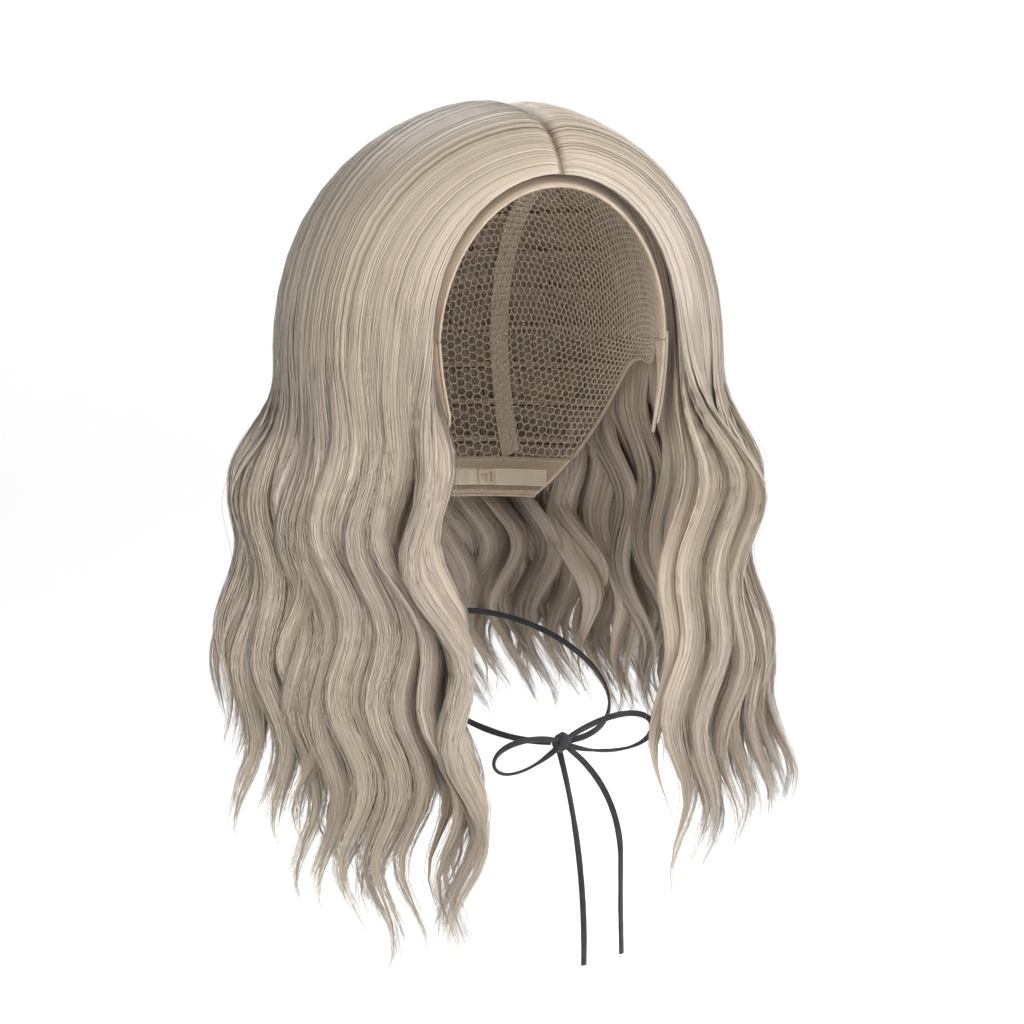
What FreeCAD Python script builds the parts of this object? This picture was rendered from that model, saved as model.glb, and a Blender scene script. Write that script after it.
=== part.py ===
import FreeCAD, Part
import math
import os
import Sketcher

# Long wavy costume wig on an open-weft cap, with a tie cord in a bow at the neck.
# Frame: millimetres, +Z up, the face opening faces -Y, +X is the wearer's left.
# The origin is the centre of the head that wears it, level with the head-size line.

doc = FreeCAD.newDocument("costume_wig")
sheet = doc.addObject("Spreadsheet::Sheet", "Sizes")

SIZES = {
    # head form: two half ellipsoids that meet at the head-size line
    "head_half_width": 78.0,
    "head_half_depth": 99.0,
    "head_top": 100.0,
    "head_bottom": 140.0,
    # layers, as distances outside the head form
    "cap_in": 0.3,
    "cap_out": 1.3,
    "rib_in": 1.6,
    "rib_out": 2.6,
    "weft_in": 2.9,
    "weft_out": 4.1,
    "hair_in": 4.5,
    # crown hair, outside
    "crown_half_width": 116.0,
    "crown_half_depth": 127.0,
    "crown_top": 115.0,
    # side planes of the cap and the hair
    "front_edge": -63.0,
    "front_lean": 13.0,
    "band_width": 14.0,
    "crown_split": 45.0,
    "curtain_back": -20.0,
    "side_back": 50.0,
    "curtain_front": -99.0,
    "curtain_front_top": -110.0,
    "curtain_shoulder": -87.0,
    "curtain_shoulder_level": -50.0,
    "curtain_gap_half": 50.0,
    "curtain_hem_front": -298.0,
    "curtain_hem_back": -268.0,
    "side_hem_back": -236.0,
    "nape_hem": -224.0,
    "seam": 0.4,
    "fall_top": -2.0,
    # cap details
    "ear_line": -4.0,
    "parting_half_width": 14.0,
    "parting_back": 40.0,
    "nape_top": -70.0,
    "nape_bottom": -90.0,
    "nape_front_top": 40.0,
    "nape_front_bottom": 52.0,
    # the back net's edge: an arch over the ear, then a slope down to the nape band
    "net_front": -26.0,
    "arch_front": -22.0,
    "arch_front_level": -20.0,
    "arch_middle": -10.0,
    "arch_middle_level": -14.0,
    "arch_back": 10.0,
    "slope_middle": 26.0,
    "slope_middle_level": -46.0,
    # ear tabs and their stays
    "tab_waist": -38.0,
    "tab_waist_level": -26.0,
    "tab_foot_back": -44.0,
    "tab_foot_front": -57.0,
    "tab_foot_level": -50.0,
    "tab_chin": -64.0,
    "tab_chin_level": -40.0,
    "stay_foot": -55.0,
    "stay_foot_level": -46.0,
    "stay_head": -60.0,
    "stay_head_level": 0.0,
    "stay_width": 5.0,
    # ribs and wefts
    "rib_half_width": 4.0,
    "rib_gap": 4.0,
    "rib_foot_gap": 2.0,
    "side_rib_offset": 40.0,
    "weft_height": 3.0,
    "weft_pitch": 20.0,
    "weft_lowest": -62.0,
    "weft_low_front": 44.0,
    "weft_front_step": 10.0,
    "weft_high_front": 26.0,
    "temple_weft_first": -45.0,
    "temple_weft_pitch": 14.0,
    "temple_weft_foot": -2.0,
    "temple_weft_head": 58.0,
    # hanging hair: level of each ring, then its outside and inside half width and half depth
    "ear_level": -1.5,
    "ear_out_width": 116.0,
    "ear_out_depth": 127.0,
    "ear_in_width": 84.0,
    "ear_in_depth": 105.0,
    "jaw_level": -66.0,
    "jaw_out_width": 136.0,
    "jaw_out_depth": 131.0,
    "jaw_in_width": 88.0,
    "jaw_in_depth": 103.0,
    "neck_level": -148.0,
    "neck_out_width": 145.0,
    "neck_out_depth": 133.0,
    "neck_in_width": 97.0,
    "neck_in_depth": 101.0,
    "chest_level": -240.0,
    "chest_out_width": 143.0,
    "chest_out_depth": 131.0,
    "chest_in_width": 100.0,
    "chest_in_depth": 102.0,
    "tip_level": -300.0,
    "tip_out_width": 134.0,
    "tip_out_depth": 126.0,
    "tip_in_width": 100.0,
    "tip_in_depth": 103.0,
    # adjuster straps: bands on a circle about an upright axis; angles from straight back
    "strap_centre": 19.0,
    "strap_level": -80.0,
    "strap_height": 9.0,
    "strap_radius": 53.2,
    "strap_thick": 1.2,
    "strap_start_angle": 30.4,
    "strap_end_angle": 62.0,
    "tape_radius": 55.7,
    "tape_thick": 0.8,
    "tape_half_angle": 34.0,
    "pocket_count": 7,
    "pocket_pitch_angle": 9.0,
    "pocket_angle": 7.0,
    "pocket_thick": 0.7,
    "pocket_margin": 1.0,
    "hook_angle": 25.6,
    "hook_length": 8.6,
    "hook_height": 8.0,
    "hook_thick": 1.2,
    "hook_slot_length": 1.6,
    "hook_notch_length": 3.2,
    "hook_bar": 1.3,
    # tie cord
    "cord_width": 3.0,
    "cord_thick": 2.0,
    "neck_ring_half_width": 50.0,
    "neck_ring_half_depth": 67.0,
    "neck_ring_tilt": 22.4,
    "neck_ring_centre": -8.0,
    "neck_ring_level": -175.5,
    "knot_radius": 4.6,
    "knot_depth": 10.0,
    "knot_round": 1.6,
    "knot_gap": 1.0,
    "bow_forward": 2.2,
    "knot_half_angle": 5.6,
    "cord_layer": 2.8,
    "bow_strand_spread": 1.9,
    "bow_left_reach": 40.5,
    "bow_left_drop": 3.6,
    "bow_left_radius": 9.0,
    "bow_right_reach": -30.5,
    "bow_right_drop": -7.0,
    "bow_right_radius": 7.6,
    "long_tail_side": 14.0,
    "long_tail_drop": 114.0,
    "long_tail_bend": 371.0,
    "short_tail_bend": 72.0,
    "short_tail_turn": 52.0,
    "short_tail_straight": 48.0,
}
for row, (alias, value) in enumerate(SIZES.items(), start=1):
    sheet.set(f"A{row}", alias.replace("_", " "))
    sheet.set(f"B{row}", f"{value:g}")
    sheet.setAlias(f"B{row}", alias)
doc.recompute()

# limits of the side profiles, wider, higher and further back than the wig
REACH = "200"
TOP = "140"
BACK = "160"
# the front band leans forward towards the crown
FRONT_TOP = "front_edge - front_lean"
BAND_BACK = "front_edge + band_width"
BAND_BACK_TOP = "front_edge + band_width - front_lean"
MIN_VOLUME = 1.0            # mm3: no piece is smaller
NOTCH_SHARE = 0.95          # a notched hook keeps less than this share of its plate

UP = FreeCAD.Vector(0, 0, 1)
X_AXIS = FreeCAD.Vector(1, 0, 0)
Y_AXIS = FreeCAD.Vector(0, 1, 0)
# turns of a sketch that stand it upright: facing +X, and facing -Y
SIDE_PLANE = FreeCAD.Rotation(FreeCAD.Vector(1, 1, 1), 120)
FRONT_PLANE = FreeCAD.Rotation(X_AXIS, 90)

parts = []


def size(alias):
    """The number in the sheet's cell of that name."""
    return float(sheet.get(alias))


def bind(obj, **expressions):
    """Bind properties of an object to expressions of sheet cells."""
    for prop, expression in expressions.items():
        obj.setExpression(prop, expression)
    return obj


def cells(expression):
    """Write sheet aliases in an expression as Sizes.alias."""
    return " ".join("Sizes." + word if word in SIZES else word for word in expression.split())


def evaluate(expression):
    """The number that an expression of sheet aliases stands for."""
    return float(sheet.evalExpression(cells(expression)))


def keep(obj, label):
    """Name a finished sub-part; its label names its file."""
    obj.Label = label
    parts.append(obj)
    return obj


def boolean(kind, name, base, tool):
    obj = doc.addObject("Part::" + kind, name)
    obj.Base = base
    obj.Tool = tool
    return obj


def ellipsoid_solid(name, width, depth, top, bottom):
    """Upper and lower half ellipsoids fused at the head-size line."""
    halves = []
    for suffix, height, low, high in (("_up", top, 0, 90), ("_down", bottom, -90, 0)):
        half = doc.addObject("Part::Ellipsoid", name + suffix)
        half.Angle1 = low
        half.Angle2 = high
        bind(half, Radius1=cells(height), Radius2=cells(width), Radius3=cells(depth))
        halves.append(half)
    return boolean("Fuse", name, *halves)


def head_offset(name, offset):
    """The head form grown by a layer distance."""
    return ellipsoid_solid(
        name,
        f"head_half_width + {offset}",
        f"head_half_depth + {offset}",
        f"head_top + {offset}",
        f"head_bottom + {offset}",
    )


def shell(name, inner, outer):
    """A layer between two distances outside the head form."""
    return boolean("Cut", name, head_offset(name + "_outer", outer), head_offset(name + "_inner", inner))


def side_profile(name, points, low="-" + REACH, high=REACH):
    """A closed outline in the YZ plane, extruded across X between two limits.

    Each point is a pair of expressions (y, z); the limits are expressions too.
    """
    sketch = doc.addObject("Sketcher::SketchObject", name + "_outline")
    sketch.Placement = FreeCAD.Placement(FreeCAD.Vector(0, 0, 0), SIDE_PLANE)
    count = len(points)
    # rough positions first; the constraints then place every corner exactly
    rough = [(evaluate(y), evaluate(z)) for y, z in points]
    for i in range(count):
        start = FreeCAD.Vector(*rough[i], 0)
        end = FreeCAD.Vector(*rough[(i + 1) % count], 0)
        sketch.addGeometry(Part.LineSegment(start, end))
    for i in range(count):
        sketch.addConstraint(Sketcher.Constraint("Coincident", i, 2, (i + 1) % count, 1))
    for i, (y, z) in enumerate(points):
        for kind, expression, value in (("DistanceX", y, rough[i][0]), ("DistanceY", z, rough[i][1])):
            index = sketch.addConstraint(Sketcher.Constraint(kind, -1, 1, i, 1, value))
            sketch.setExpression(f"Constraints[{index}]", cells(expression))
    slab = doc.addObject("Part::Extrusion", name)
    slab.Base = sketch
    slab.DirMode = "Custom"
    slab.Dir = X_AXIS
    slab.Solid = True
    bind(slab, LengthFwd=cells(high), LengthRev=cells(f"-1 * ( {low} )"))
    return slab


def layer_piece(label, layer, points, low="-" + REACH, high=REACH):
    """The part of a layer that lies inside a side profile."""
    window = side_profile(label + "_window", points, low, high)
    return keep(boolean("Common", label + "_piece", layer, window), label)


HALVES = {"left": ("seam", REACH), "right": ("-" + REACH, "-1 * seam")}

# ---------------------------------------------------------------- cap layer
cap = shell("cap_layer", "cap_in", "cap_out")

front_outline = [
    ("front_edge", "ear_line"),
    (BAND_BACK, "ear_line"),
    (BAND_BACK_TOP, TOP),
    (FRONT_TOP, TOP),
]
layer_piece("front_band", cap, front_outline)

parting_outline = [
    (BAND_BACK + " + seam", "ear_line"),
    ("parting_back", "ear_line"),
    ("parting_back", TOP),
    (BAND_BACK_TOP + " + seam", TOP),
]
layer_piece("parting_strip", cap, parting_outline, "-1 * parting_half_width", "parting_half_width")

crown_outline = [
    (BAND_BACK + " + seam", "ear_line"),
    (BACK, "ear_line"),
    (BACK, TOP),
    (BAND_BACK_TOP + " + seam", TOP),
]
parting_cutter = side_profile(
    "parting_slot",
    [
        (FRONT_TOP, "ear_line"),
        ("parting_back + seam", "ear_line"),
        ("parting_back + seam", TOP),
        (FRONT_TOP, TOP),
    ],
    "-1 * parting_half_width - seam",
    "parting_half_width + seam",
)
crown_shell = boolean("Common", "crown_shell", cap, side_profile("crown_window", crown_outline))
keep(boolean("Cut", "crown_net_piece", crown_shell, parting_cutter), "crown_net")

# the back net wraps the head behind the ears, down to the nape band
back_outline = [
    ("net_front", "ear_line - seam"),
    (BACK, "ear_line - seam"),
    (BACK, "nape_top + seam"),
    ("nape_front_top", "nape_top + seam"),
    ("slope_middle", "slope_middle_level"),
    ("arch_back", "arch_front_level"),
    ("arch_middle", "arch_middle_level"),
    ("arch_front", "arch_front_level"),
]
layer_piece("back_net", cap, back_outline)

nape_outline = [
    ("nape_front_top", "nape_top"),
    (BACK, "nape_top"),
    (BACK, "nape_bottom"),
    ("nape_front_bottom", "nape_bottom"),
]
layer_piece("nape_band", cap, nape_outline)

ear_tab_outline = [
    ("front_edge", "ear_line - seam"),
    ("net_front - seam", "ear_line - seam"),
    ("tab_waist", "tab_waist_level"),
    ("tab_foot_back", "tab_foot_level"),
    ("tab_foot_front", "tab_foot_level"),
    ("tab_chin", "tab_chin_level"),
]
stay_outline = [
    ("stay_foot", "stay_foot_level"),
    ("stay_foot + stay_width", "stay_foot_level"),
    ("stay_head + stay_width", "stay_head_level"),
    ("stay_head", "stay_head_level"),
]
stay_layer = shell("stay_layer", "rib_in", "rib_out")
for side, (low, high) in HALVES.items():
    layer_piece(f"ear_tab_{side}", cap, ear_tab_outline, low, high)
    layer_piece(f"ear_tab_stay_{side}", stay_layer, stay_outline, low, high)

# ---------------------------------------------------------------- elastic ribs
rib_outline = [
    ("parting_back + rib_gap", "nape_top + rib_foot_gap"),
    (BACK, "nape_top + rib_foot_gap"),
    (BACK, TOP),
    ("parting_back + rib_gap", TOP),
]
RIBS = {
    "rib_centre": ("-1 * rib_half_width", "rib_half_width"),
    "rib_left": ("side_rib_offset - rib_half_width", "side_rib_offset + rib_half_width"),
    "rib_right": (
        "-1 * side_rib_offset - rib_half_width",
        "-1 * side_rib_offset + rib_half_width",
    ),
}
for label, (low, high) in RIBS.items():
    layer_piece(label, stay_layer, rib_outline, low, high)

# ---------------------------------------------------------------- hair wefts
weft_layer = shell("weft_layer", "weft_in", "weft_out")
BACK_WEFTS = 7
EAR_WEFTS = 3               # the lowest wefts start further forward row by row
for row in range(BACK_WEFTS):
    level = f"weft_lowest + {row} * weft_pitch"
    front = f"weft_low_front - {row} * weft_front_step" if row < EAR_WEFTS else "weft_high_front"
    weft_outline = [
        (front, level),
        (BACK, level),
        (BACK, level + " + weft_height"),
        (front, level + " + weft_height"),
    ]
    layer_piece(f"back_weft_{row + 1}", weft_layer, weft_outline)

TEMPLE_WEFTS = 4
for side, (low, high) in HALVES.items():
    for row in range(TEMPLE_WEFTS):
        place = f"temple_weft_first + {row} * temple_weft_pitch"
        temple_outline = [
            (place, "temple_weft_foot"),
            (place + " + weft_height", "temple_weft_foot"),
            (place + " + weft_height", "temple_weft_head"),
            (place, "temple_weft_head"),
        ]
        layer_piece(f"temple_weft_{side}_{row + 1}", weft_layer, temple_outline, low, high)

# ---------------------------------------------------------------- crown hair
crown_outer = doc.addObject("Part::Ellipsoid", "crown_outer")
crown_outer.Angle1 = 0
crown_outer.Angle2 = 90
bind(
    crown_outer,
    Radius1=cells("crown_top"),
    Radius2=cells("crown_half_width"),
    Radius3=cells("crown_half_depth"),
)
crown_hair = boolean("Cut", "crown_hair", crown_outer, head_offset("crown_hollow", "hair_in"))

crown_front_outline = [
    ("front_edge", "0"),
    ("crown_split", "0"),
    ("crown_split", TOP),
    (FRONT_TOP, TOP),
]
for side, (low, high) in HALVES.items():
    layer_piece(f"crown_hair_{side}", crown_hair, crown_front_outline, low, high)
crown_back_outline = [
    ("crown_split + seam", "0"),
    (BACK, "0"),
    (BACK, TOP),
    ("crown_split + seam", TOP),
]
layer_piece("crown_hair_back", crown_hair, crown_back_outline)

# ---------------------------------------------------------------- hanging hair
RINGS = ("ear", "jaw", "neck", "chest", "tip")


def tube(name, side):
    """A solid lofted through level ellipses, one at each ring; side is out or in."""
    ellipses = []
    for ring in RINGS:
        half_width = f"{ring}_{side}_width"
        half_depth = f"{ring}_{side}_depth"
        deep = size(half_depth) > size(half_width)
        ellipse = doc.addObject("Part::Ellipse", f"{name}_{ring}")
        # the long axis of an ellipse is its own X: turned to lie front to back on deep rings
        ellipse.Placement.Rotation = FreeCAD.Rotation(UP, 90 if deep else 0)
        bind(
            ellipse,
            MajorRadius=cells(half_depth if deep else half_width),
            MinorRadius=cells(half_width if deep else half_depth),
        )
        ellipse.setExpression("Placement.Base.z", cells(f"{ring}_level"))
        ellipses.append(ellipse)
    loft = doc.addObject("Part::Loft", name)
    loft.Sections = ellipses
    loft.Solid = True
    return loft


hanging = boolean("Cut", "hanging_hair", tube("hanging_outside", "out"), tube("hanging_inside", "in"))

curtain_outline = [
    ("front_edge", "fall_top"),
    ("curtain_back", "fall_top"),
    ("curtain_back", "curtain_hem_back"),
    ("curtain_front", "curtain_hem_front"),
    ("curtain_front", "curtain_front_top"),
    ("curtain_shoulder", "curtain_shoulder_level"),
]
side_outline = [
    ("curtain_back + seam", "fall_top"),
    ("side_back", "fall_top"),
    ("side_back", "side_hem_back"),
    ("curtain_back + seam", "curtain_hem_back"),
]
back_fall_outline = [
    ("side_back + seam", "fall_top"),
    (BACK, "fall_top"),
    (BACK, "nape_hem"),
    ("side_back + seam", "side_hem_back"),
]
for side, (low, high) in HALVES.items():
    curtain_low = "curtain_gap_half" if side == "left" else low
    curtain_high = high if side == "left" else "-1 * curtain_gap_half"
    layer_piece(f"curtain_hair_{side}", hanging, curtain_outline, curtain_low, curtain_high)
    layer_piece(f"side_hair_{side}", hanging, side_outline, low, high)
    layer_piece(f"back_hair_{side}", hanging, back_fall_outline, low, high)

# ---------------------------------------------------------------- adjuster straps
def sector(name, radius, thick, height, start_angle, sweep):
    """An upright band on the strap circle, from start_angle (degrees from +X) through sweep."""
    tools = []
    for suffix, reach in (("_out", f"{radius} + {thick}"), ("_in", radius)):
        cylinder = doc.addObject("Part::Cylinder", name + suffix)
        bind(cylinder, Radius=cells(reach), Height=cells(height), Angle=cells(sweep))
        cylinder.Placement.Rotation = FreeCAD.Rotation(UP, evaluate(start_angle))
        cylinder.setExpression("Placement.Base.y", cells("strap_centre"))
        cylinder.setExpression("Placement.Base.z", cells(f"strap_level - {height} / 2"))
        tools.append(cylinder)
    return boolean("Cut", name, *tools)


STRAP_SWEEP = "strap_end_angle - strap_start_angle"
STRAP_STARTS = {"left": "90 - strap_end_angle", "right": "90 + strap_start_angle"}
for side, start_angle in STRAP_STARTS.items():
    name = f"adjuster_strap_{side}"
    band = sector(name + "_band", "strap_radius", "strap_thick", "strap_height", start_angle, STRAP_SWEEP)
    keep(band, name)

# the tape carries a row of pockets on the side that faces the head
tape = sector(
    "tape_band", "tape_radius", "tape_thick", "strap_height", "90 - tape_half_angle", "2 * tape_half_angle"
)
pockets = []
for index in range(int(size("pocket_count"))):
    middle = f"90 + ( {index} - ( pocket_count - 1 ) / 2 ) * pocket_pitch_angle"
    pocket = sector(
        f"pocket_{index + 1}",
        "tape_radius - pocket_thick",
        "pocket_thick",
        "strap_height - 2 * pocket_margin",
        f"{middle} - pocket_angle / 2",
        "pocket_angle",
    )
    pockets.append(pocket)
pocket_tape = doc.addObject("Part::MultiFuse", "pocket_tape_piece")
pocket_tape.Shapes = [tape] + pockets
keep(pocket_tape, "pocket_tape")


def origin_plane(body, role):
    for feature in body.Origin.OriginFeatures:
        if feature.Role == role:
            return feature
    raise ValueError(role)


def rectangle(sketch, low_x, high_x, low_y, high_y):
    """A rectangle whose four sides are placed by expressions."""
    left, right, bottom, top = (evaluate(e) for e in (low_x, high_x, low_y, high_y))
    corners = [(left, bottom), (right, bottom), (right, top), (left, top)]
    first = sketch.GeometryCount
    for i in range(4):
        start = FreeCAD.Vector(*corners[i], 0)
        end = FreeCAD.Vector(*corners[(i + 1) % 4], 0)
        sketch.addGeometry(Part.LineSegment(start, end))
    for i in range(4):
        sketch.addConstraint(Sketcher.Constraint("Coincident", first + i, 2, first + (i + 1) % 4, 1))
    for i, kind in ((0, "Horizontal"), (1, "Vertical"), (2, "Horizontal"), (3, "Vertical")):
        sketch.addConstraint(Sketcher.Constraint(kind, first + i))
    limits = (
        ("DistanceX", 0, 1, left, low_x),
        ("DistanceX", 1, 1, right, high_x),
        ("DistanceY", 0, 1, bottom, low_y),
        ("DistanceY", 2, 1, top, high_y),
    )
    for kind, line, end, value, expression in limits:
        index = sketch.addConstraint(Sketcher.Constraint(kind, -1, 1, first + line, end, value))
        sketch.setExpression(f"Constraints[{index}]", cells(expression))


def strap_hook(side, turn):
    """A flat moulded hook: a slot for the strap at one end, an open notch at the other."""
    body = doc.addObject("PartDesign::Body", f"hook_body_{side}")
    plate_sketch = body.newObject("Sketcher::SketchObject", f"hook_plate_{side}")
    plate_sketch.AttachmentSupport = [(origin_plane(body, "XZ_Plane"), "")]
    plate_sketch.MapMode = "FlatFace"
    half = "hook_height / 2"
    rectangle(plate_sketch, "0 - hook_length / 2", "hook_length / 2", f"0 - {half}", half)
    rectangle(
        plate_sketch,
        "hook_length / 2 - hook_bar - hook_slot_length",
        "hook_length / 2 - hook_bar",
        f"hook_bar - {half}",
        f"{half} - hook_bar",
    )
    pad = body.newObject("PartDesign::Pad", f"hook_pad_{side}")
    pad.Profile = plate_sketch
    pad.Midplane = True
    pad.setExpression("Length", cells("hook_thick"))
    doc.recompute()
    notch_sketch = body.newObject("Sketcher::SketchObject", f"hook_notch_{side}")
    notch_sketch.AttachmentSupport = [(origin_plane(body, "XZ_Plane"), "")]
    notch_sketch.MapMode = "FlatFace"
    rectangle(
        notch_sketch,
        "hook_bar - hook_length / 2",
        "hook_bar + hook_notch_length - hook_length / 2",
        "0 - hook_height",
        f"{half} - 2 * hook_bar",
    )
    notch = body.newObject("PartDesign::Pocket", f"hook_notch_cut_{side}")
    notch.Profile = notch_sketch
    notch.Midplane = True
    notch.Type = "ThroughAll"
    doc.recompute()
    if notch.Shape.Volume > pad.Shape.Volume * NOTCH_SHARE:
        raise ValueError("the hook's notch cuts nothing")
    # the hook lies flat on the strap circle, its strap slot turned towards the strap
    angle = math.radians(turn * size("hook_angle"))
    radius = size("strap_radius") + size("hook_thick") / 2
    place = FreeCAD.Vector(
        radius * math.sin(angle), size("strap_centre") + radius * math.cos(angle), size("strap_level")
    )
    facing = 0 if turn > 0 else 180
    rotation = FreeCAD.Rotation(UP, -math.degrees(angle) + facing)
    body.Placement = FreeCAD.Placement(place, rotation)
    return keep(body, f"strap_hook_{side}")


strap_hook("left", 1)
strap_hook("right", -1)

# ---------------------------------------------------------------- tie cord
tilt = math.radians(size("neck_ring_tilt"))
ring_centre = FreeCAD.Vector(0, size("neck_ring_centre"), size("neck_ring_level"))
knot_place = ring_centre - FreeCAD.Vector(0, math.cos(tilt), math.sin(tilt)) * size("neck_ring_half_depth")


def cord_section(name, place, rotation):
    """The flattened section of the cord, its width along its own X."""
    section = doc.addObject("Part::Ellipse", name)
    bind(section, MajorRadius=cells("cord_width / 2"), MinorRadius=cells("cord_thick / 2"))
    section.Placement = FreeCAD.Placement(place, rotation)
    return section


def cord_sweep(name, spine, edges, section):
    sweep = doc.addObject("Part::Sweep", name)
    sweep.Sections = [section]
    sweep.Spine = (spine, edges)
    sweep.Solid = True
    sweep.Frenet = False
    return sweep


def frame_rotation(x_axis, z_axis):
    """The rotation that takes X to x_axis and Z to z_axis."""
    return FreeCAD.Rotation(x_axis, z_axis.cross(x_axis), z_axis, "XZY")


# the knot is a rounded barrel whose axis faces the front
knot_barrel = doc.addObject("Part::Cylinder", "knot_barrel")
bind(knot_barrel, Radius=cells("knot_radius"), Height=cells("knot_depth"))
knot_barrel.Placement = FreeCAD.Placement(
    knot_place - FreeCAD.Vector(0, size("knot_depth") / 2 + size("bow_forward"), 0),
    FreeCAD.Rotation(X_AXIS, -90),
)
doc.recompute()
knot = doc.addObject("Part::Fillet", "knot_rounded")
knot.Base = knot_barrel
round_edges = [
    number
    for number, edge in enumerate(knot_barrel.Shape.Edges, start=1)
    if edge.Curve.TypeId == "Part::GeomCircle"
]
knot_round = size("knot_round")
knot.Edges = [(number, knot_round, knot_round) for number in round_edges]
keep(knot, "bow_knot")

# the neck loop leaves the knot on one side and comes back to it on the other
neck_path = doc.addObject("Part::Ellipse", "neck_path")
bind(
    neck_path,
    MajorRadius=cells("neck_ring_half_depth"),
    MinorRadius=cells("neck_ring_half_width"),
    Angle1=cells("knot_half_angle"),
    Angle2=cells("360 - knot_half_angle"),
)
ring_rotation = FreeCAD.Rotation(X_AXIS, size("neck_ring_tilt")) * FreeCAD.Rotation(UP, -90)
neck_path.Placement = FreeCAD.Placement(ring_centre, ring_rotation)
half_angle = math.radians(size("knot_half_angle"))
half_depth = size("neck_ring_half_depth")
half_width = size("neck_ring_half_width")
loop_start = FreeCAD.Vector(half_depth * math.cos(half_angle), half_width * math.sin(half_angle), 0)
loop_heading = FreeCAD.Vector(-half_depth * math.sin(half_angle), half_width * math.cos(half_angle), 0)
neck_section = cord_section(
    "neck_section",
    neck_path.Placement.multVec(loop_start),
    frame_rotation(ring_rotation.multVec(UP), ring_rotation.multVec(loop_heading.normalize())),
)
keep(cord_sweep("neck_cord", neck_path, ["Edge1"], neck_section), "neck_loop")


def bow_sketch(name, layer):
    """A sketch in the plane of the bow, its origin at the middle of the knot."""
    sketch = doc.addObject("Sketcher::SketchObject", name)
    sketch.Placement = FreeCAD.Placement(
        knot_place - FreeCAD.Vector(0, size("bow_forward") + layer * size("cord_layer"), 0),
        FRONT_PLANE,
    )
    return sketch


def tangent_point(start, centre, radius, turn):
    """Where a line from start touches a circle, on the side that turn (1 or -1) picks."""
    away = centre - start
    distance = away.Length
    lean = turn * math.asin(radius / distance)
    reach = math.sqrt(distance**2 - radius**2)
    heading = math.atan2(away.y, away.x) + lean
    return start + FreeCAD.Vector(math.cos(heading), math.sin(heading), 0) * reach


def section_rotation(sketch, heading):
    """Stand a cord section square to a path that starts along heading in its sketch."""
    tangent = sketch.Placement.Rotation.multVec(heading.normalize())
    return frame_rotation(Y_AXIS.cross(tangent), tangent)


knot_edge = size("knot_radius") + size("knot_gap")


def bow_loop(side, outward):
    """A teardrop of cord: out along a line, round an arc and back to the knot.

    outward is 1 for the loop that points to +X and -1 for the other.
    """
    name = f"bow_loop_{side}"
    sketch = bow_sketch(name + "_path", 0)
    spread = size("bow_strand_spread")
    centre = FreeCAD.Vector(size(f"bow_{side}_reach"), size(f"bow_{side}_drop"), 0)
    radius = size(f"bow_{side}_radius")
    upper = FreeCAD.Vector(outward * knot_edge, spread, 0)
    lower = FreeCAD.Vector(outward * knot_edge, -spread, 0)
    top_touch = tangent_point(upper, centre, radius, outward)
    bottom_touch = tangent_point(lower, centre, radius, -outward)
    far = centre + FreeCAD.Vector(outward * radius, 0, 0)
    sketch.addGeometry(Part.LineSegment(upper, top_touch))
    sketch.addGeometry(Part.Arc(top_touch, far, bottom_touch))
    sketch.addGeometry(Part.LineSegment(bottom_touch, lower))
    doc.recompute()
    section = cord_section(
        name + "_section",
        sketch.Placement.multVec(upper),
        section_rotation(sketch, top_touch - upper),
    )
    keep(cord_sweep(name + "_cord", sketch, ["Edge1", "Edge2", "Edge3"], section), name)


bow_loop("right", -1)
bow_loop("left", 1)

# the long tail hangs almost straight, on a wide arc that bulges to +X
long_path = bow_sketch("long_tail_path", -1)
top_end = FreeCAD.Vector(0, -knot_edge, 0)
bottom_end = FreeCAD.Vector(size("long_tail_side"), -size("long_tail_drop"), 0)
chord = bottom_end - top_end
bend = size("long_tail_bend")
bulge = FreeCAD.Vector(-chord.y, chord.x, 0).normalize() * (bend - math.sqrt(bend**2 - chord.Length**2 / 4))
long_path.addGeometry(Part.Arc(top_end, (top_end + bottom_end) * 0.5 + bulge, bottom_end))
doc.recompute()
half_turn = math.degrees(math.asin(chord.Length / 2 / bend))
long_heading = FreeCAD.Rotation(UP, half_turn).multVec(chord)
long_section = cord_section(
    "long_tail_section", long_path.Placement.multVec(top_end), section_rotation(long_path, long_heading)
)
keep(cord_sweep("long_tail_cord", long_path, ["Edge1"], long_section), "cord_tail_long")

# the short tail leaves the knot sideways and turns down
short_path = bow_sketch("short_tail_path", 1)
turn_angle = math.radians(size("short_tail_turn"))
short_bend = size("short_tail_bend")
short_start = FreeCAD.Vector(1, -1, 0).normalize() * knot_edge
turn_centre = short_start - FreeCAD.Vector(math.cos(turn_angle), math.sin(turn_angle), 0) * short_bend
middle = turn_centre + FreeCAD.Vector(math.cos(turn_angle / 2), math.sin(turn_angle / 2), 0) * short_bend
turn_end = turn_centre + FreeCAD.Vector(short_bend, 0, 0)
short_end = turn_end - FreeCAD.Vector(0, size("short_tail_straight"), 0)
short_path.addGeometry(Part.Arc(short_start, middle, turn_end))
short_path.addGeometry(Part.LineSegment(turn_end, short_end))
doc.recompute()
short_heading = FreeCAD.Vector(math.sin(turn_angle), -math.cos(turn_angle), 0)
short_section = cord_section(
    "short_tail_section",
    short_path.Placement.multVec(short_start),
    section_rotation(short_path, short_heading),
)
keep(cord_sweep("short_tail_cord", short_path, ["Edge1", "Edge2"], short_section), "cord_tail_short")

# ---------------------------------------------------------------- checks and export
doc.recompute()
for obj in doc.Objects:
    if "Invalid" in obj.State or "Error" in obj.State:
        raise RuntimeError(f"{obj.Label} failed to build: {obj.State}")
for piece in parts:
    if piece.Shape.isNull() or not piece.Shape.isValid() or piece.Shape.Volume < MIN_VOLUME:
        raise RuntimeError(f"{piece.Label} has no valid solid")

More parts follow.
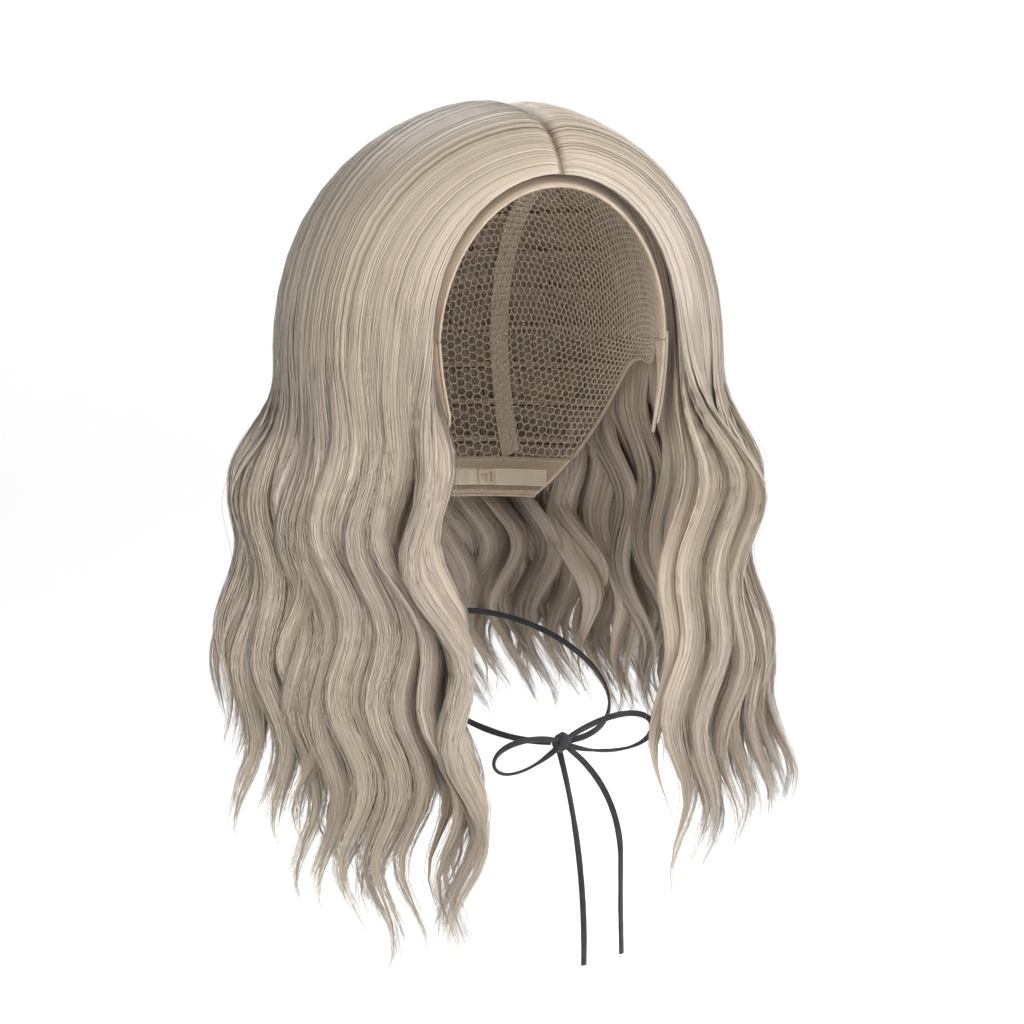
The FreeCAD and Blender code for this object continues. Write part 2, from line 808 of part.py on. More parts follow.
os.makedirs("parts", exist_ok=True)
for piece in parts:
    piece.Shape.exportStep(f"parts/{piece.Label}.step")
    box = piece.Shape.BoundBox
    print(
        f"{piece.Label}: {len(piece.Shape.Solids)} solid, {piece.Shape.Volume / 1000:.2f} cm3,"
        f" x {box.XMin:.0f}..{box.XMax:.0f} y {box.YMin:.0f}..{box.YMax:.0f}"
        f" z {box.ZMin:.0f}..{box.ZMax:.0f}"
    )
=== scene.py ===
import math

import bpy
import numpy as np
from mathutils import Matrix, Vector


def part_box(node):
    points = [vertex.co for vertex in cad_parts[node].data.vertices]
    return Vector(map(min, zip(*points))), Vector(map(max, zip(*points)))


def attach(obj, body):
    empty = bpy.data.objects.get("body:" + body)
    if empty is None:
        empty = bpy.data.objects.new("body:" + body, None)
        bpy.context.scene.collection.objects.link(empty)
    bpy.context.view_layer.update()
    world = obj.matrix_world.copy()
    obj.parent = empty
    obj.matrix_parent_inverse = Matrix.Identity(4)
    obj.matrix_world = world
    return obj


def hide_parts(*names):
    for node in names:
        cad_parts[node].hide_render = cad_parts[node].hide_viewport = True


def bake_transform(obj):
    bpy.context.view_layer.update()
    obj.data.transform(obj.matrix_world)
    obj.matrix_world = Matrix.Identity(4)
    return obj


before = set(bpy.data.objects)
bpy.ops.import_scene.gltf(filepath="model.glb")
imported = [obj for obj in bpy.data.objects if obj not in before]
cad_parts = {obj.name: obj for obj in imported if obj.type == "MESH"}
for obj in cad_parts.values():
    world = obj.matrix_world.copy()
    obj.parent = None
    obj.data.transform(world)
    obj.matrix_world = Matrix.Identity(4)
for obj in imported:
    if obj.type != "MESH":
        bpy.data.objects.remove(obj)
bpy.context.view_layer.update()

MM = 0.001                  # lengths here are millimetres, unless a comment says metres
WHOLE_TURN = 2 * math.pi


def mm_box(node):
    """Lowest and highest corner of a CAD node, in millimetres."""
    low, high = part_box(node)
    return np.array(low) / MM, np.array(high) / MM


def smooth(start, end, value):
    """0 at start, 1 at end, eased at both."""
    t = np.clip((value - start) / (end - start), 0, 1)
    return t * t * (3 - 2 * t)


def mix(a, b, t):
    return a + (b - a) * t


def unit(v):
    return v / np.maximum(np.linalg.norm(v, axis=-1, keepdims=True), 1e-9)


def xyz(x, y, z):
    """Points from their coordinates, given as arrays or numbers."""
    return np.stack(np.broadcast_arrays(x, y, z), -1)


def add_object(name, data):
    """Put new data in the scene as an object."""
    obj = bpy.data.objects.new(name, data)
    bpy.context.scene.collection.objects.link(obj)
    return obj


# ---- hair shape
crown_low, crown_high = mm_box("crown_hair_left")
_, back_high = mm_box("crown_hair_back")
_, net_high = mm_box("crown_net")

# half width, half depth and height of the inside and the outside of the hair over the head
SKIN = net_high + np.array([4.0, 4.0, 3.5])
CROWN = np.array([crown_high[0] - 1.0, back_high[1] - 2.0, crown_high[2] + 2.5])
HAIRLINE = crown_low[1] + 1.0
WHORL = 44.0                # the parting ends here, behind the middle of the head
FRONT_ANGLE = 50.0          # degrees round from straight ahead to the edge of the face opening
BACK_ANGLE = 116.0          # hair from here round to the middle belongs to the back fall

# outside and inside of the hanging hair at some heights: half width, half depth in front and behind
LEVELS = np.array([0, -25, -38, -56, -70, -90, -117, -148, -180, -240, -300.0])
OUT_WIDTH = CROWN[0] + np.array([0, 0.5, 4, 12, 16, 18, 20, 25, 26, 26, 20.0])
OUT_FRONT = CROWN[1] + np.array([0, -1, -2, -4, -6, -10, -14, -18, -19, -20, -24.0])
OUT_BACK = CROWN[1] + np.array([0, 0, 1, 3, 4, 4, 4, 4, 4, 3, 0.0])
IN_WIDTH = SKIN[0] + np.array([0, 0, 0, 1, 2, 4, 7, 9, 11, 13, 14.0])
IN_FRONT = SKIN[1] + np.array([0, -1, -3, -5, -7, -10, -13, -15, -16, -16, -16.0])
IN_BACK = SKIN[1] + np.array([0, -1, -2, -3, -4, -5, -6, -7, -7, -7, -7.0])
EDGE_ANGLE = np.array([50, 47, 45, 43, 41, 38, 35, 30, 26, 25, 27.0])

# layers of locks, outside in: depth in the hair (1 is the outside), depth over the crown,
# locks a side, strands a lock, and the face of each lock that they cover (1 outer, -1 inner)
LAYERS = (
    (0.86, 0.97, 18, 210, 1),
    (0.68, 0.80, 17, 110, 1),
    (0.40, 0.42, 13, 40, -1),
    (0.15, 0.12, 13, 90, -1),
)
INNER_START = 0.05          # the inner layers stop short of the face opening
ROUND_LENGTH = 306.9        # way round one side of the hanging hair, from its front edge to the back
LOCK_OVERLAP = 1.5
PAST_MIDDLE = 1.014         # the two sides of the hair cross a little down the middle of the back
BESIDE = 0.0008             # a small step round the head, to find the way the hair's surface faces
LOCK_THICK = 4.8
LOW_ANGLE = 27.0            # degrees round to the front edge of the hair near its ends
# height of the hair's ends at some angles round, on the right side (-1) and the left (1)
HEM_ANGLES = [17, 36, 50, 62, 80, 95, 112, 125, 180]
HEMS = {
    -1: [-328, -326, -317, -303, -274, -250, -233, -229, -232],
    1: [-296, -288, -278, -268, -258, -252, -246, -240, -238],
}

WAVE_LENGTH = 78.0
WAVE_START = -80.0
WAVE_SIDE = 9.5
WAVE_OUT = 4.5
STRAY_SHARE = 0.025
STRAY_REACH = 7.0
CROWN_STEPS = 14
CROWN_CROWDING = 1.6        # points stand closer together at the roots
FALL_STEPS = 26


def level_value(table, z):
    return np.interp(-z, -LEVELS, table)


def edge_thickness(place):
    """The hair thins towards the face opening: share of its full depth."""
    return mix(0.14, 1.0, smooth(0.0, 0.17, place))


class Locks:
    """Groups of strands that wave and end together."""

    def __init__(self, rng):
        rows = []
        for depth, sheet_depth, count, strands, facing in LAYERS:
            for side in (-1, 1):
                places = (np.arange(count) + 0.5) / count
                places = places + rng.uniform(-0.25, 0.25, count) / count
                if facing < 0:
                    places = INNER_START + (1 - INNER_START) * places
                depths = depth + rng.uniform(-0.05, 0.05, count)
                for place, deep in zip(places, depths):
                    rows.append((side, place, deep, sheet_depth, 1.0 / count, strands, facing))
        rows = np.array(rows)
        self.side, self.place, self.depth, self.sheet, self.width, self.strands, self.facing = rows.T
        count = len(rows)
        self.at_back = FRONT_ANGLE + (180 - FRONT_ANGLE) * self.place > BACK_ANGLE
        low_angle = LOW_ANGLE + (180 - LOW_ANGLE) * self.place
        self.phase = 0.8 * np.sin(self.place * 8.0 + self.side * 1.3) + rng.normal(0, 0.5, count)
        self.swing = rng.uniform(0.8, 1.25, count)
        self.stretch = rng.uniform(0.93, 1.08, count)
        self.thick = LOCK_THICK * rng.uniform(0.75, 1.25, count)
        self.twist = rng.normal(0, 0.45, count)
        # the locks at the face opening lean forward, and the left side flicks out at its ends
        self.lean = rng.normal(0, 6, count)
        self.lean -= np.where(self.side > 0, 17, 9) * (1 - smooth(0.0, 0.14, self.place))
        self.flick = rng.uniform(-2, 9, count) * smooth(0.25, 0.9, self.depth)
        self.flick += 15 * (self.side > 0) * smooth(28, 72, low_angle) * (1 - smooth(95, 125, low_angle))
        self.tint = rng.normal(0, 0.025, count)
        self.streaks = rng.uniform(0, WHOLE_TURN, (count, 3))
        # each lock is made of two, and ends in two points
        self.tips = np.array([-0.5, 0.5]) + rng.normal(0, 0.06, (count, 2))
        left_low, right_low = (np.interp(low_angle, HEM_ANGLES, HEMS[side]) for side in (1, -1))
        low = np.where(self.side > 0, left_low, right_low) + 16 * (1 - self.depth)
        self.ends = (low + rng.uniform(0, 20, count))[:, None] + rng.uniform(0, 22, (count, 2))


def crown_points(place, depth, t):
    """Points over the crown: t runs from the parting (0) to ear level (1)."""
    angle = np.radians(FRONT_ANGLE + (180 - FRONT_ANGLE) * place)
    end = xyz(np.sin(angle), -np.cos(angle), 0)
    # the roots follow the parting back to the whorl, and cross it a little at the back
    root_y = (mix(HAIRLINE, WHORL, smooth(0.0, 0.52, place)) + 8 * smooth(0.6, 1, place)) / SKIN[1]
    root_x = mix(0.012, -0.016, smooth(0.75, 0.95, place))
    root = xyz(root_x, root_y, np.sqrt(1 - root_y**2))
    t = t[None, :]
    # flat path: round the front-to-back axis, drifting along it
    y = mix(root[:, 1:2], end[:, 1:2], smooth(0, 1, t))
    across = np.sqrt(np.maximum(1 - y**2, 0))
    flat = xyz(across * np.sin(t * math.pi / 2), y, across * np.cos(t * math.pi / 2))
    # fan path: straight over the head from the crown
    turn = np.arccos(np.clip(np.sum(root * end, -1)[:, None], -1, 1))
    a = (np.sin((1 - t) * turn) / np.sin(turn))[..., None]
    b = (np.sin(t * turn) / np.sin(turn))[..., None]
    fan = root[:, None, :] * a + end[:, None, :] * b
    direction = unit(mix(flat, fan, smooth(0.25, 0.75, place)[:, None, None]))
    # the hair lies lower at its roots
    lift = mix(0.66, 1.0, smooth(0.0, 0.03, t))
    deep = (depth[:, None] * lift * edge_thickness(place)[:, None])[..., None]
    return direction * mix(SKIN, CROWN, deep)


def fall_points(place, depth, z):
    """Points of the hanging hair below ear level, without waves, and the ways along and out of it."""
    angle = np.radians(mix(level_value(EDGE_ANGLE, z), 180, place))
    deep = depth * mix(edge_thickness(place), 1.0, smooth(0, -80, z))
    width = mix(level_value(IN_WIDTH, z), level_value(OUT_WIDTH, z), deep)
    front = mix(level_value(IN_FRONT, z), level_value(OUT_FRONT, z), deep)
    behind = mix(level_value(IN_BACK, z), level_value(OUT_BACK, z), deep)
    depth_y = mix(front, behind, smooth(-0.45, 0.45, -np.cos(angle)))
    points = xyz(width * np.sin(angle), -depth_y * np.cos(angle), z)
    along = unit(xyz(width * np.cos(angle), depth_y * np.sin(angle), 0))
    return points, along, outward_from(along)


def outward_from(along):
    """The way out of a surface that runs along a level direction."""
    return xyz(along[..., 1], -along[..., 0], 0)


def crown_part(place, sheet_depth):
    """Strands over the crown and the way their surface faces."""
    share = np.linspace(0, 1, CROWN_STEPS) ** CROWN_CROWDING
    points = crown_points(place, sheet_depth, share)
    beside = crown_points(place + BESIDE, sheet_depth, share)
    face = unit(np.cross(np.gradient(points, axis=1), beside - points))
    face[:, :2] = face[:, 2:3]
    return points, face


def loose_part(place, sheet_depth, z):
    """Strands hanging as one sheet, before they part into locks, and the way they face."""
    points, _, _ = fall_points(place[:, None], sheet_depth[:, None], z)
    beside, _, _ = fall_points(place[:, None] + BESIDE, sheet_depth[:, None], z)
    return points, outward_from(unit(beside - points))


def waves(lock_id, z, wander):
    """How far the waves and the strand's own wandering carry it sideways and outwards."""
    count = len(lock_id)
    strength = smooth(12, -75, z) * locks.swing[lock_id][:, None]
    phase = WHOLE_TURN * (WAVE_START - z) / (WAVE_LENGTH * locks.stretch[lock_id][:, None])
    phase = phase + locks.phase[lock_id][:, None] + wander * rng.normal(0, 0.10, (count, 1))
    sideways = WAVE_SIDE * strength * np.sin(phase)
    sideways = sideways + locks.lean[lock_id][:, None] * smooth(-60, -260, z)
    outwards = WAVE_OUT * strength * np.cos(phase)
    outwards = outwards + locks.flick[lock_id][:, None] * smooth(-115, -245, z)
    # every strand wanders a little, and a few stray from their lock
    stray = wander * np.where(rng.random(count) < STRAY_SHARE, STRAY_REACH, 1.0)[:, None]
    for harmonic in (1.0, 2.3, 4.1):
        shift = rng.uniform(0, WHOLE_TURN, (count, 2, 1))
        reach = stray * 0.45 / harmonic * smooth(20, -120, z)
        sideways = sideways + reach * np.sin(-z * harmonic * 0.035 + shift[:, 0])
        outwards = outwards + reach * np.sin(-z * harmonic * 0.031 + shift[:, 1])
    return sideways[..., None], outwards[..., None]


def strand_paths(lock_id, across, bulge, tip, ends, sheet_depth, wander, sink):
    """Paths of strands and the way each faces, (strand, point, xyz) in millimetres.

    across (-1 to 1) and bulge (-1 to 1, outwards) place a strand on the rounded section of its
    lock; towards its end it gathers to the place across called tip. wander is how far each
    strand strays by itself, and sink pushes the paths in under the surface.
    """
    side = locks.side[lock_id]
    facing = locks.facing[lock_id][:, None, None]
    half = locks.width[lock_id] * 0.5 * LOCK_OVERLAP
    place = np.clip(locks.place[lock_id] + across * half, 0.002, PAST_MIDDLE)
    share = np.linspace(0, 1, FALL_STEPS + 1)[1:][None, :]
    z = ends[:, None] * share
    crown, crown_face = crown_part(place, sheet_depth)
    loose, loose_face = loose_part(place, sheet_depth, z)
    middle, along, outward = fall_points(locks.place[lock_id][:, None], locks.depth[lock_id][:, None], z)

    # below the ears the sheet of strands draws together into rounded locks, then into points
    opened = smooth(8, -85, z)
    to_tip = smooth(0.70, 1.04, share)
    half_width = half[:, None] * ROUND_LENGTH
    thick = locks.thick[lock_id][:, None]
    side_way = mix(across[:, None], (tip + GATHER * (across - tip))[:, None], to_tip) * half_width
    out_way = bulge[:, None] * thick * (1 - 0.75 * to_tip)
    turn = locks.twist[lock_id][:, None] * opened * 2

    def turned(a, b):
        """A step of a along and b out of the lock, turned with the lock's section."""
        step_along = a * np.cos(turn) - b * np.sin(turn)
        step_out = a * np.sin(turn) + b * np.cos(turn)
        return along * step_along[..., None] + outward * step_out[..., None]

    fall = mix(loose, middle + turned(side_way, out_way), opened[..., None])
    lock_face = unit(turned(across[:, None] / half_width, bulge[:, None] / thick))
    fall_face = unit(mix(loose_face * facing, lock_face, opened[..., None]))
    sideways, outwards = waves(lock_id, z, wander)
    fall = fall + along * sideways + outward * outwards

    face = np.concatenate([crown_face * facing, fall_face], 1)
    path = np.concatenate([crown, fall], 1) - face * sink
    for _ in range(2):
        path[:, 1:-1] = 0.25 * path[:, :-2] + 0.5 * path[:, 1:-1] + 0.25 * path[:, 2:]
    path[..., 0] *= side[:, None]
    face[..., 0] *= side[:, None]
    return path, face


# ---- tubes
MAP_MARGIN = 0.1            # free share on each side of a tube's column in the map
MAP_WIDTH = 0.8
INNER_SIDE = 1              # the side of a three-sided strand that faces inwards
STRAND_FLAT = 0.12
STRAND_ROUND = 0.2


def fill(layer, key, values):
    """Set a whole layer of a mesh at once."""
    layer.data.foreach_set(key, values.astype(np.float32).ravel())


def ring_mesh(name, rings, tint, normals=None, face=None):
    """Closed tubes from rings of points, (tube, ring, corner, xyz), joined in one mesh.

    The mesh carries each tube's tint, how far along it a point lies, and a map with one upright
    column per tube. With normals and face the tubes are shaded as parts of one smooth surface.
    """
    count, steps, sides, _ = rings.shape
    tube = np.arange(count)[:, None, None] * steps * sides
    step = np.arange(steps - 1)[None, :, None] * sides
    k = np.arange(sides)[None, None, :]
    a = tube + step + k
    b = tube + step + (k + 1) % sides
    quads = np.stack([b, a, a + sides, b + sides], -1)
    cap_start = tube[:, 0] + np.arange(sides)
    cap_end = tube[:, 0] + (steps - 1) * sides + np.arange(sides)[::-1]
    loops = np.concatenate([quads.ravel(), cap_start.ravel(), cap_end.ravel()]).astype(np.int32)
    sizes = np.concatenate([np.full(quads.size // 4, 4), np.full(2 * count, sides)])
    starts = np.concatenate([[0], np.cumsum(sizes)[:-1]]).astype(np.int32)

    mesh = bpy.data.meshes.new(name)
    mesh.vertices.add(count * steps * sides)
    mesh.vertices.foreach_set("co", (rings * MM).astype(np.float32).ravel())
    mesh.loops.add(len(loops))
    mesh.loops.foreach_set("vertex_index", loops)
    mesh.polygons.add(len(sizes))
    mesh.polygons.foreach_set("loop_start", starts)
    mesh.polygons.foreach_set("use_smooth", np.ones(len(sizes), bool))
    mesh.update(calc_edges=True)
    if normals is not None:
        normal = normals.reshape(-1, 3)[loops]
        inner = np.zeros(quads.shape, bool)
        inner[:, :, INNER_SIDE] = True
        inner = np.flatnonzero(inner)
        normal[inner] = np.repeat(-face, sides, axis=1).reshape(-1, 3)[loops[inner]]
        fill(mesh.attributes.new("custom_normal", "FLOAT_VECTOR", "CORNER"), "vector", normal)
    point_along = np.tile(np.repeat(np.linspace(0, 1, steps), sides), count)
    fill(mesh.attributes.new("tint", "FLOAT", "POINT"), "value", np.repeat(tint, steps * sides))
    fill(mesh.attributes.new("along", "FLOAT", "POINT"), "value", point_along)
    # across the map: from a corner of the ring to the next, so that the last side closes the ring
    corner = loops % sides
    corner[:quads.size] = np.broadcast_to(np.stack([k + 1, k, k, k + 1], -1), quads.shape).ravel()
    column = loops // (steps * sides)
    uv = np.stack([(column + MAP_MARGIN + MAP_WIDTH * corner / sides) / count, point_along[loops]], -1)
    fill(mesh.uv_layers.new(name="OFBake"), "uv", uv)
    return add_object(name, mesh)


def strand_mesh(name, path, face, radius, tint):
    """Fine flat strands along paths, each with its broad side turned the way it faces."""
    tangent = unit(np.gradient(path, axis=1))
    across = unit(np.cross(tangent, face))
    outward = np.cross(across, tangent)
    rings, normals = [], []
    for k in range(3):
        angle = WHOLE_TURN * k / 3 + math.pi / 2
        offset = across * math.cos(angle) + outward * (math.sin(angle) * STRAND_FLAT)
        rings.append(path + offset * radius[..., None])
        normals.append(unit(outward + offset * STRAND_ROUND))
    return ring_mesh(name, np.stack(rings, 2), tint, np.stack(normals, 2), outward)


# ---- materials
def srgb(*display):
    """Linear colour from 0..255 display values."""
    v = np.array(display) / 255
    return (*np.where(v <= 0.04045, v / 12.92, ((v + 0.055) / 1.055) ** 2.4), 1.0)


class Material:
    """A node material, built in short steps that pass values on as sockets or numbers."""

    def __init__(self, name):
        self.material = bpy.data.materials.new(name)
        self.material.use_nodes = True
        self.tree = self.material.node_tree
        self.tree.nodes.clear()
        self.shader = self.node("BsdfPrincipled")
        self.node("OutputMaterial", {"Surface": self.shader.outputs["BSDF"]})

    def node(self, kind, inputs=None, **settings):
        """A new node, its inputs given by name or number."""
        made = self.tree.nodes.new("ShaderNode" + kind)
        for key, value in settings.items():
            setattr(made, key, value)
        for key, value in (inputs or {}).items():
            self.feed(made.inputs[key], value)
        return made

    def feed(self, socket, value):
        if isinstance(value, bpy.types.NodeSocket):
            self.tree.links.new(value, socket)
        else:
            socket.default_value = value

    def set(self, **values):
        """Feed the shader's inputs: Base_Color is its Base Color."""
        for key, value in values.items():
            self.feed(self.shader.inputs[key.replace("_", " ")], value)

    def noise(self, scale, detail, vector=None):
        if vector is None:
            vector = self.node("TexCoord").outputs["Object"]
        return self.node("TexNoise", {"Vector": vector, "Scale": scale, "Detail": detail}).outputs["Fac"]

    def math(self, operation, *values):
        return self.node("Math", dict(enumerate(values)), operation=operation).outputs[0]

    def total(self, *terms):
        """The sum of values, each times its weight."""
        total = 0.0
        for value, weight in terms:
            total = self.math("MULTIPLY_ADD", value, weight, total)
        return total

    def ramp(self, value, stops):
        ramp = self.node("ValToRGB", {"Fac": value})
        elements = ramp.color_ramp.elements
        while len(elements) < len(stops):
            elements.new(0.5)
        for element, (position, colour) in zip(elements, stops):
            element.position = position
            element.color = colour
        return ramp.outputs["Color"]

    def bump(self, height, strength, distance):
        made = self.node("Bump", {"Height": height, "Strength": strength, "Distance": distance})
        self.set(Normal=made.outputs["Normal"])


ROOT_SHARE = 0.03
# painted shade at the hair's roots: how much darker the roots turn along the parting
ROOT_PAINTED_SHADE = 0.6
HAIR_STOPS = [
    (0.0, srgb(108, 92, 77)),
    (0.15, srgb(142, 127, 110)),
    (0.35, srgb(173, 159, 142)),
    (0.6, srgb(195, 182, 166)),
    (1.0, srgb(214, 202, 188)),
]
# the blond drifts between a yellower and a cooler cast
HAIR_CAST = [(0.38, (1.0, 0.99, 0.95, 1)), (0.62, (1.0, 0.985, 1.0, 1))]


def hair_material(name, roughness, streak_scale, streak_depth):
    """Colour by strand, by place on the head and by fine streaks along the strands, with painted shade at the
    roots.
    """
    made = Material(name)
    tint, along = (made.node("Attribute", attribute_name=key).outputs["Fac"] for key in ("tint", "along"))
    column = made.node("UVMap", uv_map="OFBake").outputs["UV"]
    stretched = made.node("Mapping", {"Vector": column, "Scale": (streak_scale, 5.0, 1.0)})
    streaks = made.noise(1.0, 3.0, stretched.outputs["Vector"])
    # painted shade: the roots are darker, which draws the parting as a dark line
    roots = {"Value": along, "From Max": ROOT_SHARE, "To Min": -ROOT_PAINTED_SHADE, "To Max": 0.0}
    root = made.node("MapRange", roots).outputs["Result"]
    parts = (tint, 1.0), (made.noise(24.0, 2.0), 0.30), (streaks, streak_depth), (along, 0.06)
    total = made.total(*parts, (root, 1.0))
    colour = made.ramp(made.math("SUBTRACT", total, 0.18 + streak_depth / 2), HAIR_STOPS)
    cast = made.ramp(made.noise(9.0, 1.0), HAIR_CAST)
    colour = made.node("VectorMath", {0: colour, 1: cast}, operation="MULTIPLY").outputs["Vector"]
    made.set(Base_Color=colour, Roughness=roughness, Specular_IOR_Level=0.4)
    made.set(Sheen_Weight=0.2, Sheen_Roughness=0.4)
    return made, streaks


blond, _ = hair_material("hair_ash_blond", 0.42, 900.0, 0.10)
under, under_streaks = hair_material("hair_under_layer", 0.5, 1700.0, 1.5)
under.bump(under_streaks, 0.4, 0.0004)

# ---- build the hair
rng = np.random.default_rng(11)
locks = Locks(rng)
BODIES = {
    "left": (locks.side > 0) & ~locks.at_back,
    "right": (locks.side < 0) & ~locks.at_back,
    "back": locks.at_back,
}
PIECE_STRANDS = 850
STRAND_RADIUS = 0.19
CORE_SIDES = 28
CORE_SIZE = 0.97
CORE_RIDGE = 0.07
CORE_SHORTER = 8.0
# painted shade: the cores are coloured darker than the strands over them, as hair shaded inside the locks
CORE_SHADED_TINT = 0.40
CORE_PIECES = 2
HALF_LOCK = 0.52            # half of a lock's half, as a share of the lock's half width
SQUARENESS = 0.7
GATHER = 0.42
TIP_SLANT = 40.0
COVERED_ROUND = 0.16        # locks with a smaller place are at the face opening and covered all round


def hang(obj, material):
    """Give a piece of hair its material and move its placement into its mesh."""
    obj.data.materials.append(material)
    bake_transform(obj)
    return obj


def lock_section(tip, turn, size=1.0):
    """Place across and bulge of points round half a lock, the half that ends at tip."""
    across = tip + HALF_LOCK * size * np.cos(turn)
    side = np.sin(turn)
    bulge = np.sign(side) * np.abs(side) ** SQUARENESS * np.sqrt(np.maximum(1 - across**2, 0.04))
    return across, bulge * size


def lock_cores(body, lock_ids):
    """The inside of each lock, ridged along its length, a little under its strands, coloured darker as painted
    shade.
    """
    halves = np.repeat(lock_ids, 2)
    ids = np.repeat(halves, CORE_SIDES)
    turn = np.tile(np.arange(CORE_SIDES) * -WHOLE_TURN / CORE_SIDES, len(halves))
    tip = np.repeat(locks.tips[lock_ids].ravel(), CORE_SIDES)
    ridge = 1 - CORE_RIDGE * rng.random(len(ids))
    across, bulge = lock_section(tip, turn, CORE_SIZE * ridge)
    ends = np.repeat(locks.ends[lock_ids].ravel(), CORE_SIDES) + CORE_SHORTER
    sheet_depth = locks.sheet[ids] - 0.035 + 0.02 * bulge
    path, _ = strand_paths(ids, across, bulge, tip, ends, sheet_depth, 0.0, 0.2)
    rings = path.reshape(len(halves), CORE_SIDES, -1, 3).transpose(0, 2, 1, 3)
    mirrored = locks.side[halves] < 0
    rings[mirrored] = rings[mirrored, :, ::-1]
    middle = rings.mean(axis=2, keepdims=True)
    taper = 1 - 0.97 * smooth(0.74, 1.0, np.linspace(0, 1, rings.shape[1]))
    rings = middle + (rings - middle) * taper[None, :, None, None]
    # painted shade: darker than the strands' tint of 0.5
    tint = CORE_SHADED_TINT + locks.tint[halves] + rng.normal(0, 0.015, len(halves))
    pieces = []
    for index, chunk in enumerate(np.array_split(np.arange(len(halves)), CORE_PIECES), start=1):
        obj = ring_mesh(f"under_hair_{body}_{index}", rings[chunk], tint[chunk])
        pieces.append(hang(obj, under.material))
    return pieces


def fine_strands(body, lock_ids, density):
    """The strands that cover the locks, in pieces small enough to export whole."""
    strands = np.maximum((locks.strands[lock_ids] * density).astype(int), 4)
    ids = np.repeat(lock_ids, strands)
    count = len(ids)
    # most strands lie on the outer face of their lock
    hidden = np.where(locks.place[ids] < COVERED_ROUND, 0.42, 0.12)
    seen_face = locks.facing[ids] * np.where(rng.random(count) < hidden, -1, 1)
    half = rng.integers(0, 2, count)
    tip = locks.tips[ids, half]
    across, bulge = lock_section(tip, seen_face * rng.uniform(0, math.pi, count))
    bulge = bulge + rng.normal(0, 0.03, count)
    ends = locks.ends[ids, half] + TIP_SLANT * np.abs(across - tip) + np.abs(rng.normal(0, 7, count))
    sheet_depth = locks.sheet[ids] + rng.uniform(-0.012, 0.012, count)
    path, face = strand_paths(ids, across, bulge, tip, ends, sheet_depth, 1.0, 0.0)
    taper = 1 - 0.75 * smooth(0.75, 1.0, np.linspace(0, 1, path.shape[1]))
    radius = STRAND_RADIUS / math.sqrt(density) * rng.uniform(0.75, 1.25, count)[:, None] * taper[None, :]
    streak = sum(np.sin(across * wave + locks.streaks[ids, i]) for i, wave in enumerate((6.0, 17.0, 41.0)))
    tint = 0.5 + 0.03 * streak + rng.normal(0, 0.05, count) + locks.tint[ids]
    pieces = []
    chunks = math.ceil(count / PIECE_STRANDS)
    for index, chunk in enumerate(np.array_split(np.arange(count), chunks), start=1):
        obj = strand_mesh(f"wavy_hair_{body}_{index}", path[chunk], face[chunk], radius[chunk], tint[chunk])
        pieces.append(hang(obj, blond.material))
    return pieces


for body, mask in BODIES.items():
    lock_ids = np.nonzero(mask)[0]
    lock_cores(body, lock_ids) + fine_strands(body, lock_ids, 1.0)

for side in ("left", "right"):
    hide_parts(f"curtain_hair_{side}", f"side_hair_{side}", f"crown_hair_{side}")
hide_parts("back_hair_left", "back_hair_right", "crown_hair_back")

# ---- cloth and cord materials
def cloth(name, dark, light, pitch, bump, roughness, sheen):
    """Woven cloth: ridges across and along a map in millimetres, uneven colour and a soft sheen."""
    made = Material(name)
    place = made.node("UVMap", uv_map="Weave").outputs["UV"]
    split = made.node("SeparateXYZ", {"Vector": place})
    waves = []
    for axis, ridge_pitch in zip("XY", pitch):
        turn = made.math("MULTIPLY", split.outputs[axis], WHOLE_TURN / ridge_pitch)
        waves.append(made.math("MULTIPLY_ADD", made.math("SINE", turn), 0.5, 0.5))
    weave = made.math("MAXIMUM", waves[0], made.math("MULTIPLY", waves[1], 0.85))
    shade = made.total((weave, 0.45), (made.noise(60.0, 5.0), 0.35), (made.noise(1400.0, 2.0), 0.3))
    made.bump(weave, bump, 0.0003)
    made.set(Base_Color=made.ramp(shade, [(0.15, srgb(*dark)), (0.85, srgb(*light))]), Roughness=roughness)
    made.set(Sheen_Weight=sheen, Sheen_Roughness=0.4, Specular_IOR_Level=0.3)
    return made.material


def speckled(name, dark, light, scale, bump, roughness, sheen=0.0, specular=0.4):
    """A material coloured and roughened by two sizes of noise."""
    made = Material(name)
    fine = made.noise(scale, 6.0)
    shade = made.total((made.noise(scale * 0.12, 3.0), 0.5), (fine, 0.5))
    made.bump(fine, bump, 0.0002)
    made.set(Base_Color=made.ramp(shade, [(0.3, srgb(*dark)), (0.7, srgb(*light))]), Roughness=roughness)
    made.set(Sheen_Weight=sheen, Sheen_Roughness=0.5, Specular_IOR_Level=specular)
    return made.material


# looks: a material and the record's material slot that it stands for
SATIN = (cloth("cap_satin", (176, 156, 134), (214, 196, 174), (0.45, 0.9), 0.25, 0.42, 0.5), "band_fabric")
ELASTIC = (cloth("woven_elastic", (190, 172, 150), (226, 212, 194), (0.4, 0.7), 0.6, 0.7, 0.3), "elastic")
WEFT = (cloth("weft_strip", (140, 124, 106), (196, 181, 163), (0.35, 1.1), 0.6, 0.55, 0.3), "weft_tape")
COTTON = (cloth("pocket_cotton", (196, 180, 158), (228, 215, 197), (0.5, 0.5), 0.5, 0.8, 0.3), "pocket_cotton")
BINDING = (speckled("binding_tape", (160, 140, 118), (196, 177, 154), 1500.0, 0.5, 0.6, 0.4), "band_fabric")
SCALP = (speckled("parting_skin", (206, 172, 146), (228, 198, 173), 900.0, 0.25, 0.5, 0.1), "parting_skin")
NET = (speckled("net_thread", (200, 182, 160), (232, 217, 198), 2500.0, 0.4, 0.65, 0.3), "rose_net")
